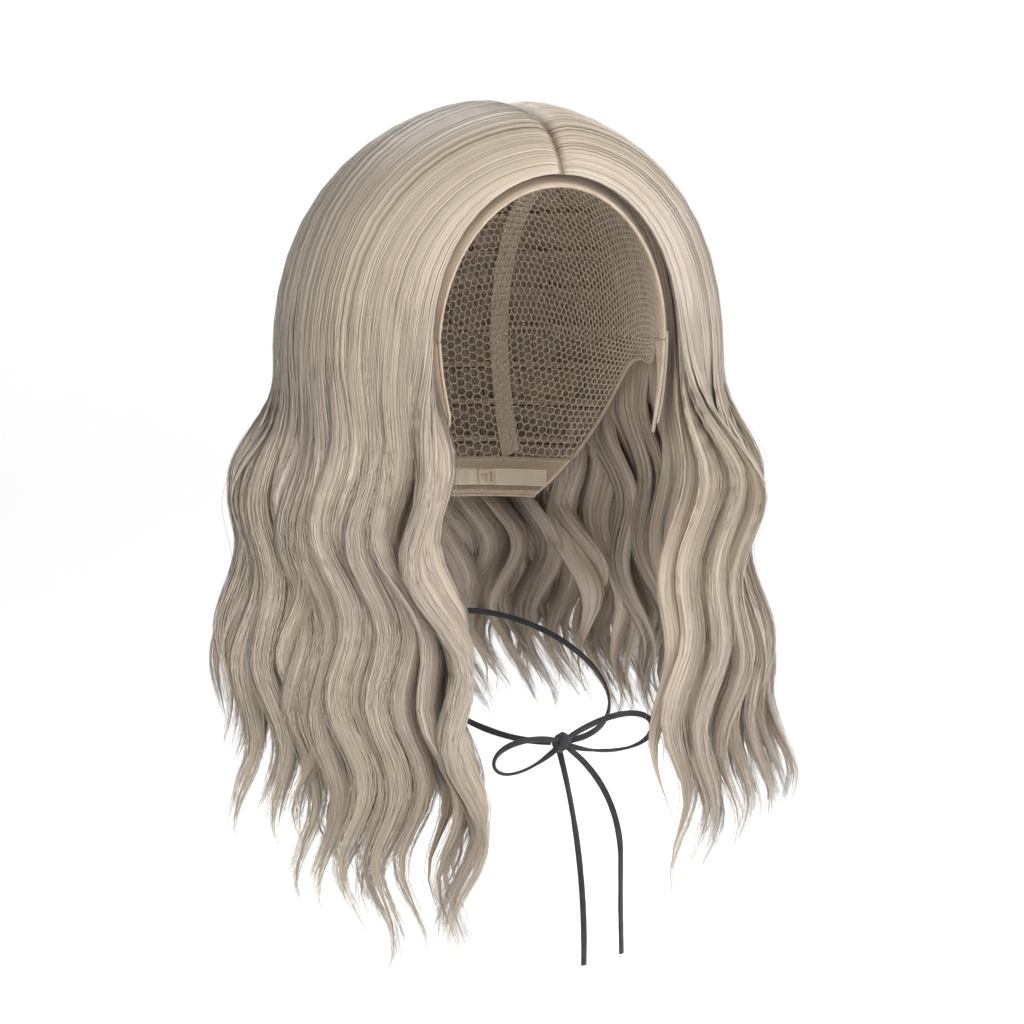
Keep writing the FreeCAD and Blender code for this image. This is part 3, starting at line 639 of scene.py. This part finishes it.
LACE = (speckled("suede_lace", (30, 30, 32), (58, 58, 61), 1800.0, 0.7, 0.85, 0.25, 0.2), "tie_cord")
FRINGE = (under.material, "hair_fibre")
thread = speckled("sewing_thread", (206, 190, 168), (236, 224, 207), 3000.0, 0.4, 0.5, 0.3)
stay_plastic = speckled("stay_plastic", (214, 206, 192), (234, 228, 216), 500.0, 0.15, 0.3)
hook_plastic = speckled("hook_plastic", (188, 170, 148), (206, 190, 168), 600.0, 0.2, 0.35)

# ---- cap shape
CAP_OUT = 1.3
CAP_MIDDLE = 0.8            # middle of the cap layer, outside the head form
RIB_MIDDLE = 2.1
WEFT_MIDDLE = 3.5
FORM = net_high - CAP_OUT   # half width, half depth and height of the head form
FORM_BELOW = 140.0
EAR_LINE = -4.0
FRONT_EDGE = -63.0
FRONT_LEAN = 13.0 / 144.0   # the band leans forward this much for each millimetre up
BAND_WIDTH = 14.0
BAND_RISE = math.asin(4 / 62)   # the band ends this far below level (radians)
PARTING_HALF = 14.0
PARTING_BACK = 40.0
PARTING_FRONT = FRONT_EDGE + BAND_WIDTH - FRONT_LEAN * 80
# the back net's lower edge, from the ear tab over the ear to the nape band: y and z
EAR_ARCH = np.array(
    [(-26, -4.4), (-23, -15), (-16, -17), (-6, -14.5), (6, -17), (15, -28), (26, -46), (40, -69.6)]
)
BACK_OUTLINE = np.concatenate([EAR_ARCH, [(160, -72.0), (160, -4.0)]])
NAPE_TOP, NAPE_BOTTOM = -70.0, -90.0
TAB_TOP, TAB_BOTTOM = -4.4, -50.0
SEAM = 1.8                  # from an edge of the band to its stitches
SEAM_DEPTH = 0.75
STITCH_PITCH = 2.4
NET_CELL = 4.2              # across a cell of the net
NET_THREAD = 0.75


def form_height(z, offset):
    return np.where(z >= 0, FORM[2], FORM_BELOW) + offset


def form_normal(p, offset=CAP_MIDDLE):
    """The way out of the head form at points on it."""
    a, b = FORM[:2] + offset
    x, y, z = np.moveaxis(p, -1, 0)
    return unit(xyz(x / a**2, y / b**2, z / form_height(z, offset) ** 2))


def level_point(angle, z, offset):
    """On the head form, by angle round from straight ahead (radians) and height."""
    a, b = FORM[:2] + offset
    s = np.sqrt(np.maximum(1 - (z / form_height(z, offset)) ** 2, 0))
    return xyz(a * s * np.sin(angle), -b * s * np.cos(angle), z)


def side_point(y, z, side, offset):
    """On one side of the head form, by depth and height."""
    a, b = FORM[:2] + offset
    inside = np.maximum(1 - (y / b) ** 2 - (z / form_height(z, offset)) ** 2, 0)
    return xyz(side * a * np.sqrt(inside), y, z)


def top_point(x, y, offset):
    """On the top of the head form, by width and depth."""
    a, b = FORM[:2] + offset
    inside = np.maximum(1 - (x / a) ** 2 - (y / b) ** 2, 0)
    return xyz(x, y, (FORM[2] + offset) * np.sqrt(inside))


def band_point(psi, y0, offset):
    """Where a plane that leans like the front band crosses the head form, by angle over the head."""
    a, b = FORM[:2] + offset
    reach = np.full(np.broadcast(psi, y0).shape, 60.0)
    for _ in range(30):
        z = reach * np.sin(psi)
        y = y0 - FRONT_LEAN * (z - EAR_LINE)
        inside = np.maximum(1 - (y / b) ** 2, 0)
        reach = np.sqrt(inside / ((np.cos(psi) / a) ** 2 + (np.sin(psi) / form_height(z, offset)) ** 2))
    return xyz(reach * np.cos(psi), y, reach * np.sin(psi))


def rib_point(x, turn, offset):
    """Down the back of the head form in an upright plane: turn is the angle up from level (radians)."""
    a, b = FORM[:2] + offset
    s = np.sqrt(1 - (x / a) ** 2)
    return xyz(x, b * s * np.cos(turn), form_height(turn, offset) * s * np.sin(turn))


def level_start(y, z, offset=CAP_MIDDLE):
    """Angle round from straight ahead at which the head form is y deep, at height z."""
    s = np.sqrt(1 - (z / form_height(z, offset)) ** 2)
    return np.arccos(np.clip(-y / ((FORM[1] + offset) * s), -1, 1))


# ---- cap building blocks
def show(obj, look, body, node=None):
    """Give a piece its material, the body it rides on and the CAD node that it takes the place of."""
    material, slot_name = look
    obj.data.materials.append(material)
    if body:
        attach(obj, body)
    if node:
        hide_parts(node)
    return obj


def sheet(name, node, middle, thick, look, outward=None, body="root"):
    """A closed thin sheet round a grid of points (row, column, xyz), shown in place of a CAD node.

    It has a map in millimetres and faces out of the head form unless told otherwise.
    """
    if outward is None:
        outward = form_normal(middle)
    rows, columns, _ = middle.shape
    half = np.broadcast_to(thick, (rows, columns))[..., None] / 2
    vertices = np.stack([middle + outward * half, middle - outward * half]).reshape(-1, 3)
    index = np.arange(rows * columns).reshape(rows, columns)
    front = np.stack([index[:-1, :-1], index[:-1, 1:], index[1:, 1:], index[1:, :-1]], -1).reshape(-1, 4)
    rim = np.concatenate([index[0, :], index[1:, -1], index[-1, -2::-1], index[-2:0:-1, 0]])
    p = middle.reshape(-1, 3)
    turn = np.cross(p[front[:, 1]] - p[front[:, 0]], p[front[:, 3]] - p[front[:, 0]])
    if np.sum(turn * outward.reshape(-1, 3)[front[:, 0]]) > 0:
        rim = rim[::-1]
    else:
        front = front[:, ::-1]
    after = np.roll(rim, -1)
    count = rows * columns
    edge = np.stack([rim, after, after + count, rim + count], -1)
    faces = np.concatenate([front, front[:, ::-1] + count, edge])
    mesh = bpy.data.meshes.new(name)
    mesh.from_pydata((vertices * MM).tolist(), [], faces.tolist())
    mesh.polygons.foreach_set("use_smooth", np.ones(len(faces), bool))
    down = np.cumsum(np.linalg.norm(np.diff(middle, axis=0, prepend=middle[:1]), axis=2), axis=0)
    over = np.cumsum(np.linalg.norm(np.diff(middle, axis=1, prepend=middle[:, :1]), axis=2), axis=1)
    place = np.tile(np.stack([over, down], -1).reshape(-1, 2), (2, 1))[faces.ravel()]
    fill(mesh.uv_layers.new(name="Weave"), "uv", place)
    return show(add_object(name, mesh), look, body, node)


def hemmed(middle, base, roll):
    """Thickness of a grid whose edges are turned over: thicker near every edge, thin at the very rim."""
    rows, columns, _ = middle.shape
    u = np.linspace(0, 1, rows)[:, None]
    v = np.linspace(0, 1, columns)[None, :]
    near = np.minimum(np.minimum(u, 1 - u) * rows / columns, np.minimum(v, 1 - v))
    hem = smooth(0, 0.04, near) * (1 - smooth(0.098, 0.14, near))
    return base + roll * hem - 0.4 * (1 - smooth(0, 0.05, near))


def ribbed(base, ridge, turns, columns):
    """Thickness across a strip with rounded ridges along it."""
    return base + ridge * np.abs(np.sin(np.linspace(0, turns * math.pi, columns)))[None, :]


def cords(name, path, outward, width, height, sides, look, body="root", square=1.0, node=None):
    """Closed cords along paths (cord, point, xyz): width across and height out, rounded or squarer."""
    tangent = unit(np.gradient(path, axis=-2))
    across = unit(np.cross(tangent, outward))
    out = np.cross(across, tangent)
    width = np.broadcast_to(width, path.shape[:2])[..., None] / 2
    height = np.broadcast_to(height, path.shape[:2])[..., None] / 2
    rings = []
    for k in range(sides):
        angle = WHOLE_TURN * k / sides
        c, s = (math.copysign(abs(v) ** square, v) for v in (math.cos(angle), math.sin(angle)))
        rings.append(path + across * c * width + out * s * height)
    return show(ring_mesh(name, np.stack(rings, 2), np.full(len(path), 0.5)), look, body, node)


def length_of(path):
    return float(np.linalg.norm(np.diff(path, axis=0), axis=1).sum())


def resample(path, count):
    """Points spread evenly along a path."""
    steps = np.concatenate([[0], np.cumsum(np.linalg.norm(np.diff(path, axis=0), axis=1))])
    at = np.linspace(0, steps[-1], count)
    return np.stack([np.interp(at, steps, path[:, i]) for i in range(3)], -1)


def stitches(name, rows, depth):
    """Rows of stitches on the inner side of the cap, depth inside the rows' own surface.

    Each stitch is a short thread that dips into the cloth at its ends.
    """
    stitch = []
    for row in rows:
        count = int(length_of(row) / STITCH_PITCH)
        points = resample(row, count * 4 + 1)
        stitch.append(points[:-1].reshape(count, 4, 3))
    stitch = np.concatenate(stitch)
    outward = form_normal(stitch)
    dip = np.array([0.25, -0.1, -0.1, 0.25])[None, :, None]
    width = 0.5 * np.array([0.5, 1, 1, 0.5])
    cords(name, stitch + outward * (dip - depth), outward, width, width, 6, (thread, "band_fabric"))


def piping(name, path, size=1.7):
    """A rounded binding along an edge of the cap."""
    path = resample(path, int(length_of(path) / 1.5))[None]
    cords(name, path, form_normal(path), size, size, 10, BINDING)


# ---- cap pieces
def satin_piece(name, middle, seams, edge):
    """A hemmed band of cap satin with its rows of stitches and a binding along its edge."""
    sheet(f"{name}_satin", name, middle, hemmed(middle, 0.9, 0.5), SATIN)
    stitches(f"{name}_stitches", seams, SEAM_DEPTH)
    piping(f"{name}_binding", edge)


def front_band():
    psi = np.linspace(-BAND_RISE, math.pi + BAND_RISE, 121)
    y0 = FRONT_EDGE + np.linspace(0, BAND_WIDTH, 25)[None, :]
    middle = band_point(psi[:, None], y0, CAP_MIDDLE)
    seams = [band_point(psi, FRONT_EDGE + y, CAP_MIDDLE) for y in (SEAM, BAND_WIDTH - SEAM)]
    satin_piece("front_band", middle, seams, band_point(psi, FRONT_EDGE, CAP_MIDDLE + 0.2))


def parting_strip():
    x = np.linspace(-PARTING_HALF, PARTING_HALF, 29)[None, :]
    middle = top_point(x, np.linspace(PARTING_FRONT, PARTING_BACK, 101)[:, None], CAP_MIDDLE)
    sheet("parting_skin_strip", "parting_strip", middle, hemmed(middle, 0.9, 0.3), SCALP)
    y = np.linspace(PARTING_FRONT, PARTING_BACK, 80)
    rows = [top_point(side * (PARTING_HALF - 1.5), y, CAP_MIDDLE) for side in (-1, 1)]
    rows.append(top_point(np.linspace(-12, 12, 30), PARTING_BACK - 1.5, CAP_MIDDLE))
    stitches("parting_strip_stitches", rows, 0.6)


def nape_band():
    z = np.linspace(NAPE_TOP, NAPE_BOTTOM, 21)[None, :]
    start = level_start(np.linspace(40.0, 52.0, 21)[None, :], z)
    share = np.linspace(0, 1, 121)[:, None]
    middle = level_point(mix(start, WHOLE_TURN - start, share), z, CAP_MIDDLE)
    satin_piece("nape_band", middle, [middle[:, 2], middle[:, -3]], middle[:, -1])


def ear_tab(side, name):
    z = np.linspace(TAB_TOP, TAB_BOTTOM, 33)[:, None]
    front = np.interp(-z, [4.4, 40, 46, 50], [-63, -64, -62, -57.0])
    back = np.interp(-z, [4.4, 26, 46, 50], [-26.4, -38, -43, -44.0])
    middle = side_point(mix(front, back, np.linspace(0, 1, 25)[None, :]), z, side, CAP_MIDDLE)
    seam = np.concatenate([middle[1:-2, 2], middle[-3, 2:-2], middle[1:-2, -3][::-1]])
    satin_piece(name, middle, [seam], np.concatenate([middle[:, 0], middle[-1, 1:], middle[-2::-1, -1]]))


def ear_arch(side, name):
    """Binding along the back net's edge over the ear."""
    at = np.linspace(0, len(EAR_ARCH) - 1, 60)
    y, z = (np.interp(at, np.arange(len(EAR_ARCH)), column) for column in EAR_ARCH.T)
    for _ in range(6):
        y[1:-1] = (y[:-2] + y[1:-1] + y[2:]) / 3
        z[1:-1] = (z[:-2] + z[1:-1] + z[2:]) / 3
    piping(f"ear_binding_{name}", side_point(y, z, side, CAP_MIDDLE), 2.0)


def in_crown_net(p):
    x, y, z = np.moveaxis(p, -1, 0)
    edge = FRONT_EDGE + BAND_WIDTH - FRONT_LEAN * (z - EAR_LINE) - 1.5
    parting = (np.abs(x) < PARTING_HALF - 1) & (y < PARTING_BACK - 1) & (z > 0)
    return (z > EAR_LINE) & (y > edge) & ~parting


def in_back_net(p):
    """Whether points, seen from the side, lie inside the back net's outline."""
    y, z = p[..., 1], p[..., 2]
    inside = np.zeros(y.shape, bool)
    for (y0, z0), (y1, z1) in zip(BACK_OUTLINE, np.roll(BACK_OUTLINE, -1, axis=0)):
        if z0 != z1:
            cut = (y1 - y0) * (z - z0) / (z1 - z0) + y0
            inside ^= ((z0 > z) != (z1 > z)) & (y < cut)
    return inside


def honeycomb(reach):
    """Edges of a honeycomb on a plane: start and end of each, within reach of the middle."""
    side = NET_CELL / math.sqrt(3)
    n = int(reach / NET_CELL) + 2
    i, j = np.meshgrid(np.arange(-2 * n, 2 * n + 1), np.arange(-2 * n, 2 * n + 1))
    centre = np.stack([NET_CELL * (i + j / 2.0), 1.5 * side * j], -1).reshape(-1, 2)
    centre = centre[np.hypot(*centre.T) < reach]
    edges = []
    for k in range(3):
        angle = np.radians([30 + 60 * k, 90 + 60 * k])
        corner = side * np.stack([np.cos(angle), np.sin(angle)], -1)
        edges.append(np.stack([centre + corner[0], centre + corner[1]], 1))
    return np.concatenate(edges)


def net(name, node, pole, inside, pieces):
    """A knotted net: a honeycomb of threads laid on the head form round a pole."""
    pole = unit(np.array(pole, float))
    side_way = unit(np.cross(pole, [1.0, 0.02, 0.0]))
    other = np.cross(pole, side_way)
    edges = honeycomb(190.0)
    edges = mix(edges[:, :1], edges[:, 1:], np.array([-0.04, 0.5, 1.04])[None, :, None])
    polar = np.hypot(edges[..., 0], edges[..., 1]) / 92.0
    turn = np.arctan2(edges[..., 1], edges[..., 0])[..., None]
    level = side_way * np.cos(turn) + other * np.sin(turn)
    direction = pole * np.cos(polar)[..., None] + np.sin(polar)[..., None] * level
    axes = xyz(FORM[0], FORM[1], form_height(direction[..., 2], 0)) + CAP_MIDDLE
    points = direction / np.linalg.norm(direction / axes, axis=-1, keepdims=True)
    points = points[inside(points[:, 1]) & (polar.max(axis=1) < 2.2)]
    points = points[np.argsort(points[:, 1, 0], kind="stable")]
    width = NET_THREAD * np.array([1.25, 0.85, 1.25])
    for index, chunk in enumerate(np.array_split(points, pieces), start=1):
        replaced = node if index == 1 else None
        cords(f"{name}_{index}", chunk, form_normal(chunk), width, width * 0.8, 5, NET, node=replaced)


def rib(name, middle_x):
    """Woven elastic sewn down the back of the cap, ridged along its length."""
    x = middle_x + np.linspace(-4, 4, 41)[None, :]
    s = math.sqrt(1 - (middle_x / FORM[0]) ** 2)
    high = math.acos((PARTING_BACK + 4) / ((FORM[1] + RIB_MIDDLE) * s))
    low = -math.asin(68 / ((FORM_BELOW + RIB_MIDDLE) * s))
    middle = rib_point(x, np.linspace(high, low, 110)[:, None], RIB_MIDDLE)
    sheet(f"{name}_elastic", name, middle, ribbed(0.75, 0.35, 7, 41), ELASTIC)


def weft(name, label, middle, across):
    """A strip of machine-sewn weft: folded hair roots held by a thread that zigzags across it."""
    columns = middle.shape[1]
    thick = 0.7 + 0.5 * np.abs(np.sin(np.linspace(0.15, 3 * math.pi - 0.15, columns)))[None, :]
    sheet(f"{name}_tape", name, middle, thick, WEFT, form_normal(middle, WEFT_MIDDLE))
    line = middle[:, columns // 2]
    count = int(length_of(line) / 2.2) * 2 + 1
    fine = resample(line, count)
    swing = np.where(np.arange(count) % 2 == 0, 0.9, -0.9)[:, None]
    path = (fine + unit(resample(line + across, count) - fine) * swing)[None]
    out = form_normal(path, WEFT_MIDDLE)
    cords(label, path - out * 0.62, out, 0.4, 0.4, 5, (thread, "weft_tape"))


def back_wefts():
    """The rows of weft round the back; returns where their fringes start."""
    fringe_roots = []
    for row in range(7):
        low = -62.0 + 20.0 * row
        y_start = 44.0 - 10.0 * row if row < 3 else 26.0
        start = level_start(y_start, low + 1.5, WEFT_MIDDLE)
        angle = np.linspace(start, WHOLE_TURN - start, 120)[:, None]
        middle = level_point(angle, low + np.linspace(0, 3, 13)[None, :], WEFT_MIDDLE)
        weft(f"back_weft_{row + 1}", f"back_weft_thread_{row + 1}", middle, np.array([0, 0, 1.0]))
        fringe_roots.append(resample(middle[:, 1], 420))
    return np.concatenate(fringe_roots)


def temple_wefts(side, name):
    z = np.linspace(-2, 58, 70)[:, None]
    for row in range(4):
        middle = side_point(-45.0 + 14.0 * row + np.linspace(0, 3, 13)[None, :], z, side, WEFT_MIDDLE)
        label = f"temple_weft_thread_{name}_{row + 1}"
        weft(f"temple_weft_{name}_{row + 1}", label, middle, np.array([0, 1.0, 0]))


def weft_fringe(root):
    """The fibres that leave each back weft, hanging close to the cap."""
    count = len(root)
    share = np.linspace(0, 1, 8)[None, :]
    z = root[:, 2:] - share * rng.uniform(17, 26, (count, 1))
    angle = np.arctan2(root[:, 0] / FORM[0], -root[:, 1] / FORM[1])[:, None]
    angle = angle + rng.normal(0, 0.012, (count, 1)) * share
    lift = WEFT_MIDDLE + 0.5 + 3.2 * smooth(0, 1, share) + rng.uniform(-0.3, 0.3, (count, 1))
    path = level_point(angle, z, 0.0)
    path = path + form_normal(path, 0.0) * lift[..., None]
    width = STRAND_RADIUS * 3.2 * (1 - 0.5 * share)
    cords("weft_fringe_hair", path, form_normal(path, 0.0), width, width * 0.4, 4, FRINGE)


# ---- straps and pocket tape
STRAP_CENTRE = 19.0
STRAP_LEVEL = -80.0
STRAP_HALF_HEIGHT = 4.5
STRAP_RADIUS = 53.8
TAPE_RADIUS = 56.1
POCKET = 9.0                # degrees round the tape from seam to seam


def circle_point(degrees, radius, z):
    """On the strap circle: degrees from straight back, towards +X."""
    angle = np.radians(degrees)
    return xyz(radius * np.sin(angle), STRAP_CENTRE + radius * np.cos(angle), z)


def circle_outward(points):
    out = points - np.array([0, STRAP_CENTRE, 0])
    out[..., 2] = 0
    return unit(out)


def adjuster_strap(side, name):
    z = STRAP_LEVEL + np.linspace(-STRAP_HALF_HEIGHT, STRAP_HALF_HEIGHT, 37)[None, :]
    middle = circle_point(side * np.linspace(30.4, 62.0, 60)[:, None], STRAP_RADIUS, z)
    thick = ribbed(0.8, 0.35, 8, 37)
    node = f"adjuster_strap_{name}"
    strap = sheet(f"adjuster_elastic_{name}", node, middle, thick, ELASTIC, circle_outward(middle), None)
    far, near = (tuple(circle_point(side * at, STRAP_RADIUS, STRAP_LEVEL) * MM) for at in (60.0, 36.0))
    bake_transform(strap)


def pocket_tape():
    height = np.linspace(-1, 1, 19)[None, :]
    degrees = np.linspace(-34, 34, 273)[:, None]
    in_pocket = np.abs((degrees + POCKET / 2) % POCKET - POCKET / 2) / 3.5
    bulge = np.sqrt(np.maximum(1 - in_pocket**2, 0)) * (np.abs(degrees) < 3.5 * POCKET)
    bulge = bulge * (1 - smooth(0.72, 0.95, np.abs(height)))
    middle = circle_point(degrees, TAPE_RADIUS - 0.45 * bulge, STRAP_LEVEL + STRAP_HALF_HEIGHT * height)
    sheet("pocket_tape_cotton", "pocket_tape", middle, 0.8 + 0.5 * bulge, COTTON, circle_outward(middle))
    # three tacks hold each seam
    z = STRAP_LEVEL + np.linspace(-3.2, 3.2, 12).reshape(3, 4)
    tacks = [circle_point(seam, TAPE_RADIUS - 0.55, z) for seam in POCKET * np.arange(-3.5, 4)]
    path = np.concatenate(tacks)
    cords("pocket_tape_stitches", path, circle_outward(path), 0.5, 0.5, 6, (thread, "pocket_cotton"))


# ---- tie cord
RING_HALF_WIDTH, RING_HALF_DEPTH = 50.0, 67.0
RING_TILT = math.radians(22.4)
RING_BACK = np.array([0, math.cos(RING_TILT), math.sin(RING_TILT)])
RING_CENTRE = np.array([0, -8.0, -175.5])
KNOT = RING_CENTRE - RING_BACK * RING_HALF_DEPTH
BOW = KNOT - np.array([0, 2.2, 0])
LACE_WIDTH, LACE_THICK = 3.1, 1.5
BOW_START = 2.6             # the loops start this far from the middle of the knot
BOW_FORWARD = 1.0
BOW_FULLNESS = 1.26
TAIL_LAYER = 2.8            # the short tail lies this far in front of the bow, the long one behind
TO_FRONT = np.array([0, -1.0, 0])


def lace(name, node, path, outward, body):
    """A length of flat suede lace, its edges slightly uneven."""
    count = int(length_of(path) / 1.2)
    facing = unit(resample(path + outward, count) - resample(path, count))
    path = resample(path, count)
    for _ in range(3):
        path[1:-1] = (path[:-2] + 2 * path[1:-1] + path[2:]) / 4
    places = count // 4 + 2
    worn = np.interp(np.linspace(0, 1, count), np.linspace(0, 1, places), rng.normal(0, 0.07, places))
    width, thick = LACE_WIDTH + worn, LACE_THICK + worn * 0.5
    cords(name, path[None], facing[None], width, thick, 12, LACE, body, 0.55, node)


def neck_lace():
    """Round the neck, from the knot and back to it, its flat side against the neck."""
    angle = np.radians(np.linspace(5.6, 354.4, 200))
    x = -RING_HALF_WIDTH * np.sin(angle)
    forward = RING_HALF_DEPTH * np.cos(angle)
    path = RING_CENTRE + xyz(x, 0, 0) - forward[:, None] * RING_BACK
    out = unit(xyz(x, -forward * math.cos(RING_TILT), 0))
    share = np.linspace(0, 1, 200)
    near_knot = 1 - smooth(0, 0.16, np.minimum(share, 1 - share))
    path = path + near_knot[:, None] * TO_FRONT * 0.5
    lace("neck_lace", "neck_loop", path, out, "neck_cord")


def on_bow(points, layer):
    """Points of the bow's plane, given as (right, up) from the knot, at a layer in front of it."""
    return BOW + xyz(points[:, 0], 0, points[:, 1]) + TO_FRONT * layer


def bow_lace(side, name, centre, radius, arch):
    """A loop of the bow: a rounded teardrop that twists a little."""
    centre = np.array(centre)
    reach = np.hypot(*centre)
    heading = centre / reach
    across = np.array([-heading[1], heading[0]]) * side
    length = reach + radius
    first = 2 * math.asin(math.sqrt(BOW_START / length))
    turn = np.linspace(first, WHOLE_TURN - first, 120)
    forward = length * (0.5 - 0.5 * np.cos(turn))
    spread = radius * BOW_FULLNESS * np.sin(turn) * np.sin(turn / 2) ** 0.8
    path = forward[:, None] * heading + spread[:, None] * across
    path = resample(np.pad(path, ((0, 0), (0, 1))), 100)[:, :2]
    share = np.linspace(0, 1, 100)
    points = on_bow(path, BOW_FORWARD)
    points[:, 1] -= 1.6 * np.sin(share * math.pi) + 1.5 * np.sin(share * WHOLE_TURN)
    points[:, 2] += arch * np.sin(share * math.pi)
    inward = unit(xyz(centre[0] - path[:, 0], 0, centre[1] - path[:, 1]))
    twist = np.radians(50) * np.sin(share * WHOLE_TURN)[:, None] + math.radians(35)
    out = unit(inward * np.cos(twist) + TO_FRONT * np.sin(twist))
    lace(f"bow_lace_{name}", f"bow_loop_{name}", points, out, f"bow_{name}")


def tail_laces():
    """The long tail bows gently; the short one bends down in a round stretch and then hangs."""
    top, bottom = np.array([0, -3.8]), np.array([14.0, -114.0])
    share = np.linspace(0, 1, 80)
    chord = bottom - top
    side_way = np.array([-chord[1], chord[0]]) / np.hypot(*chord)
    path = top + share[:, None] * chord + 4.1 * (4 * share * (1 - share))[:, None] * side_way
    facing = unit(TO_FRONT + xyz(0.5 * np.sin(share * 7), 0, 0))
    lace("long_tail_lace", "cord_tail_long", on_bow(path, -TAIL_LAYER), facing, "tail_long")
    turn = np.linspace(math.radians(52), 0, 40)
    radius = 72.0
    middle = np.array([3.96, -3.96]) - radius * np.array([math.cos(turn[0]), math.sin(turn[0])])
    arc = middle + radius * np.stack([np.cos(turn), np.sin(turn)], -1)
    path = np.concatenate([[(2.4, -2.4)], arc, arc[-1:] - [[0, 24.0], [-0.6, 48.0]]])
    facing = unit(TO_FRONT + xyz(0.55 * np.cos(np.linspace(0, 6, len(path))), 0, 0))
    lace("short_tail_lace", "cord_tail_short", on_bow(path, TAIL_LAYER), facing, "tail_short")


def knot():
    """The bow's knot: the lace wound twice, crossing itself, round the folded laces inside."""
    turn = np.linspace(0.3, WHOLE_TURN + 0.1, 60)
    paths, outs, widths, heights = [], [], [], []
    for tilt, half_height, half_depth, width in ((62, 4.3, 3.3, 4.4), (118, 3.7, 2.9, 3.4)):
        up = np.array([math.cos(math.radians(tilt)), 0, math.sin(math.radians(tilt))])
        radial = np.cos(turn)[:, None] * up * half_height + np.sin(turn)[:, None] * TO_FRONT * half_depth
        paths.append(BOW + radial)
        outs.append(unit(radial))
        widths.append(width + 0.3 * np.sin(turn * 2))
        heights.append(np.full(60, LACE_THICK))
    x = np.linspace(-4.9, 4.9, 60)
    round_off = np.sqrt(1 - (x / 5.2) ** 2)
    paths.append(BOW + xyz(x, 0, 0.12 * x))
    outs.append(np.tile(TO_FRONT, (60, 1)))
    widths.append(6.4 * round_off)
    heights.append(4.8 * round_off)
    shape = [np.stack(part) for part in (paths, outs, widths, heights)]
    cords("bow_knot_lace", *shape, 12, LACE, "neck_cord", 0.7, "bow_knot")


# ---- build the cap and the cord
front_band()
parting_strip()
nape_band()
for side, name in ((1, "left"), (-1, "right")):
    ear_tab(side, f"ear_tab_{name}")
    ear_arch(side, name)
    temple_wefts(side, name)
    adjuster_strap(side, name)
net("crown_net_threads", "crown_net", (0, 0.25, 1), in_crown_net, 4)
net("back_net_threads", "back_net", (0, 1, -0.25), in_back_net, 3)
for name, middle_x in (("rib_centre", 0.0), ("rib_left", 40.0), ("rib_right", -40.0)):
    rib(name, middle_x)
weft_fringe(back_wefts())
pocket_tape()
neck_lace()
bow_lace(1, "left", (40.5, 2.6), 9.0, 1.6)
bow_lace(-1, "right", (-30.5, -6.2), 7.6, -0.6)
tail_laces()
knot()
for side in ("left", "right"):
    for node, material in ((f"ear_tab_stay_{side}", stay_plastic), (f"strap_hook_{side}", hook_plastic)):
        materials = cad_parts[node].data.materials
        materials.clear()
        materials.append(material)


# ---- stage, in metres
VIEW_AZIMUTH = math.radians(-25)
VIEW_PITCH = math.radians(5)
AWAY = Vector((-math.sin(VIEW_AZIMUTH), math.cos(VIEW_AZIMUTH), 0))
VIEW_DISTANCE = 1.4
AIM = Vector((0.0056, -0.0026, -0.093))
FLOOR_LEVEL = -0.62
FLOOR_FRONT, FLOOR_BACK = -6.0, 5.0
BACKDROP_BEND = 1.2
BACKDROP_TOP = 7.0
STAGE_HALF_WIDTH = 9


def build_stage():
    """A pale floor that curves up into a pale backdrop."""
    profile = [(FLOOR_FRONT, 0.0)]
    for angle in np.linspace(0, math.pi / 2, 13):
        along = FLOOR_BACK - BACKDROP_BEND * (1 - math.sin(angle))
        profile.append((along, BACKDROP_BEND * (1 - math.cos(angle))))
    profile.append((FLOOR_BACK, BACKDROP_TOP))
    right = AWAY.cross((0, 0, 1))
    vertices = []
    for along, up in profile:
        for side in (-STAGE_HALF_WIDTH, STAGE_HALF_WIDTH):
            vertices.append(AWAY * along + right * side + Vector((0, 0, FLOOR_LEVEL + up)))
    faces = [(2 * i, 2 * i + 1, 2 * i + 3, 2 * i + 2) for i in range(len(profile) - 1)]
    mesh = bpy.data.meshes.new("studio_floor")
    mesh.from_pydata(vertices, [], faces)
    mesh.polygons.foreach_set("use_smooth", [True] * len(faces))
    pale = Material("stage_pale")
    pale.set(Base_Color=(0.92, 0.92, 0.92, 1), Roughness=0.9)
    mesh.materials.append(pale.material)
    add_object("studio_floor", mesh)


def area_light(name, place, width, power):
    data = bpy.data.lights.new(name, "AREA")
    data.shape = "DISK"
    data.size = width
    data.energy = power
    light = add_object(name, data)
    light.location = place
    light.rotation_euler = (Vector((0, 0, -0.1)) - Vector(place)).to_track_quat("-Z", "Y").to_euler()


build_stage()
area_light("key_light", (0.2, -2.2, 2.5), 1.8, 50)
area_light("right_fill", (2.4, -1.4, 0.8), 2.0, 36)
area_light("left_fill", (-2.4, -1.2, 0.8), 2.0, 22)
area_light("back_light", (0.3, 2.4, 2.0), 1.6, 35)
world = bpy.data.worlds.new("studio_world")
world.use_nodes = True
background = world.node_tree.nodes["Background"].inputs
background["Color"].default_value = (1, 1, 1, 1)
background["Strength"].default_value = 0.9
bpy.context.scene.world = world
bpy.context.scene.view_settings.view_transform = "Standard"

to_camera = Vector((0, 0, math.sin(VIEW_PITCH))) - AWAY * math.cos(VIEW_PITCH)
camera = add_object("camera", bpy.data.cameras.new("camera"))
camera.data.lens = 96
camera.data.sensor_width = 36
camera.location = AIM + to_camera * VIEW_DISTANCE
camera.rotation_euler = (-to_camera).to_track_quat("-Z", "Y").to_euler()
bpy.context.scene.camera = camera
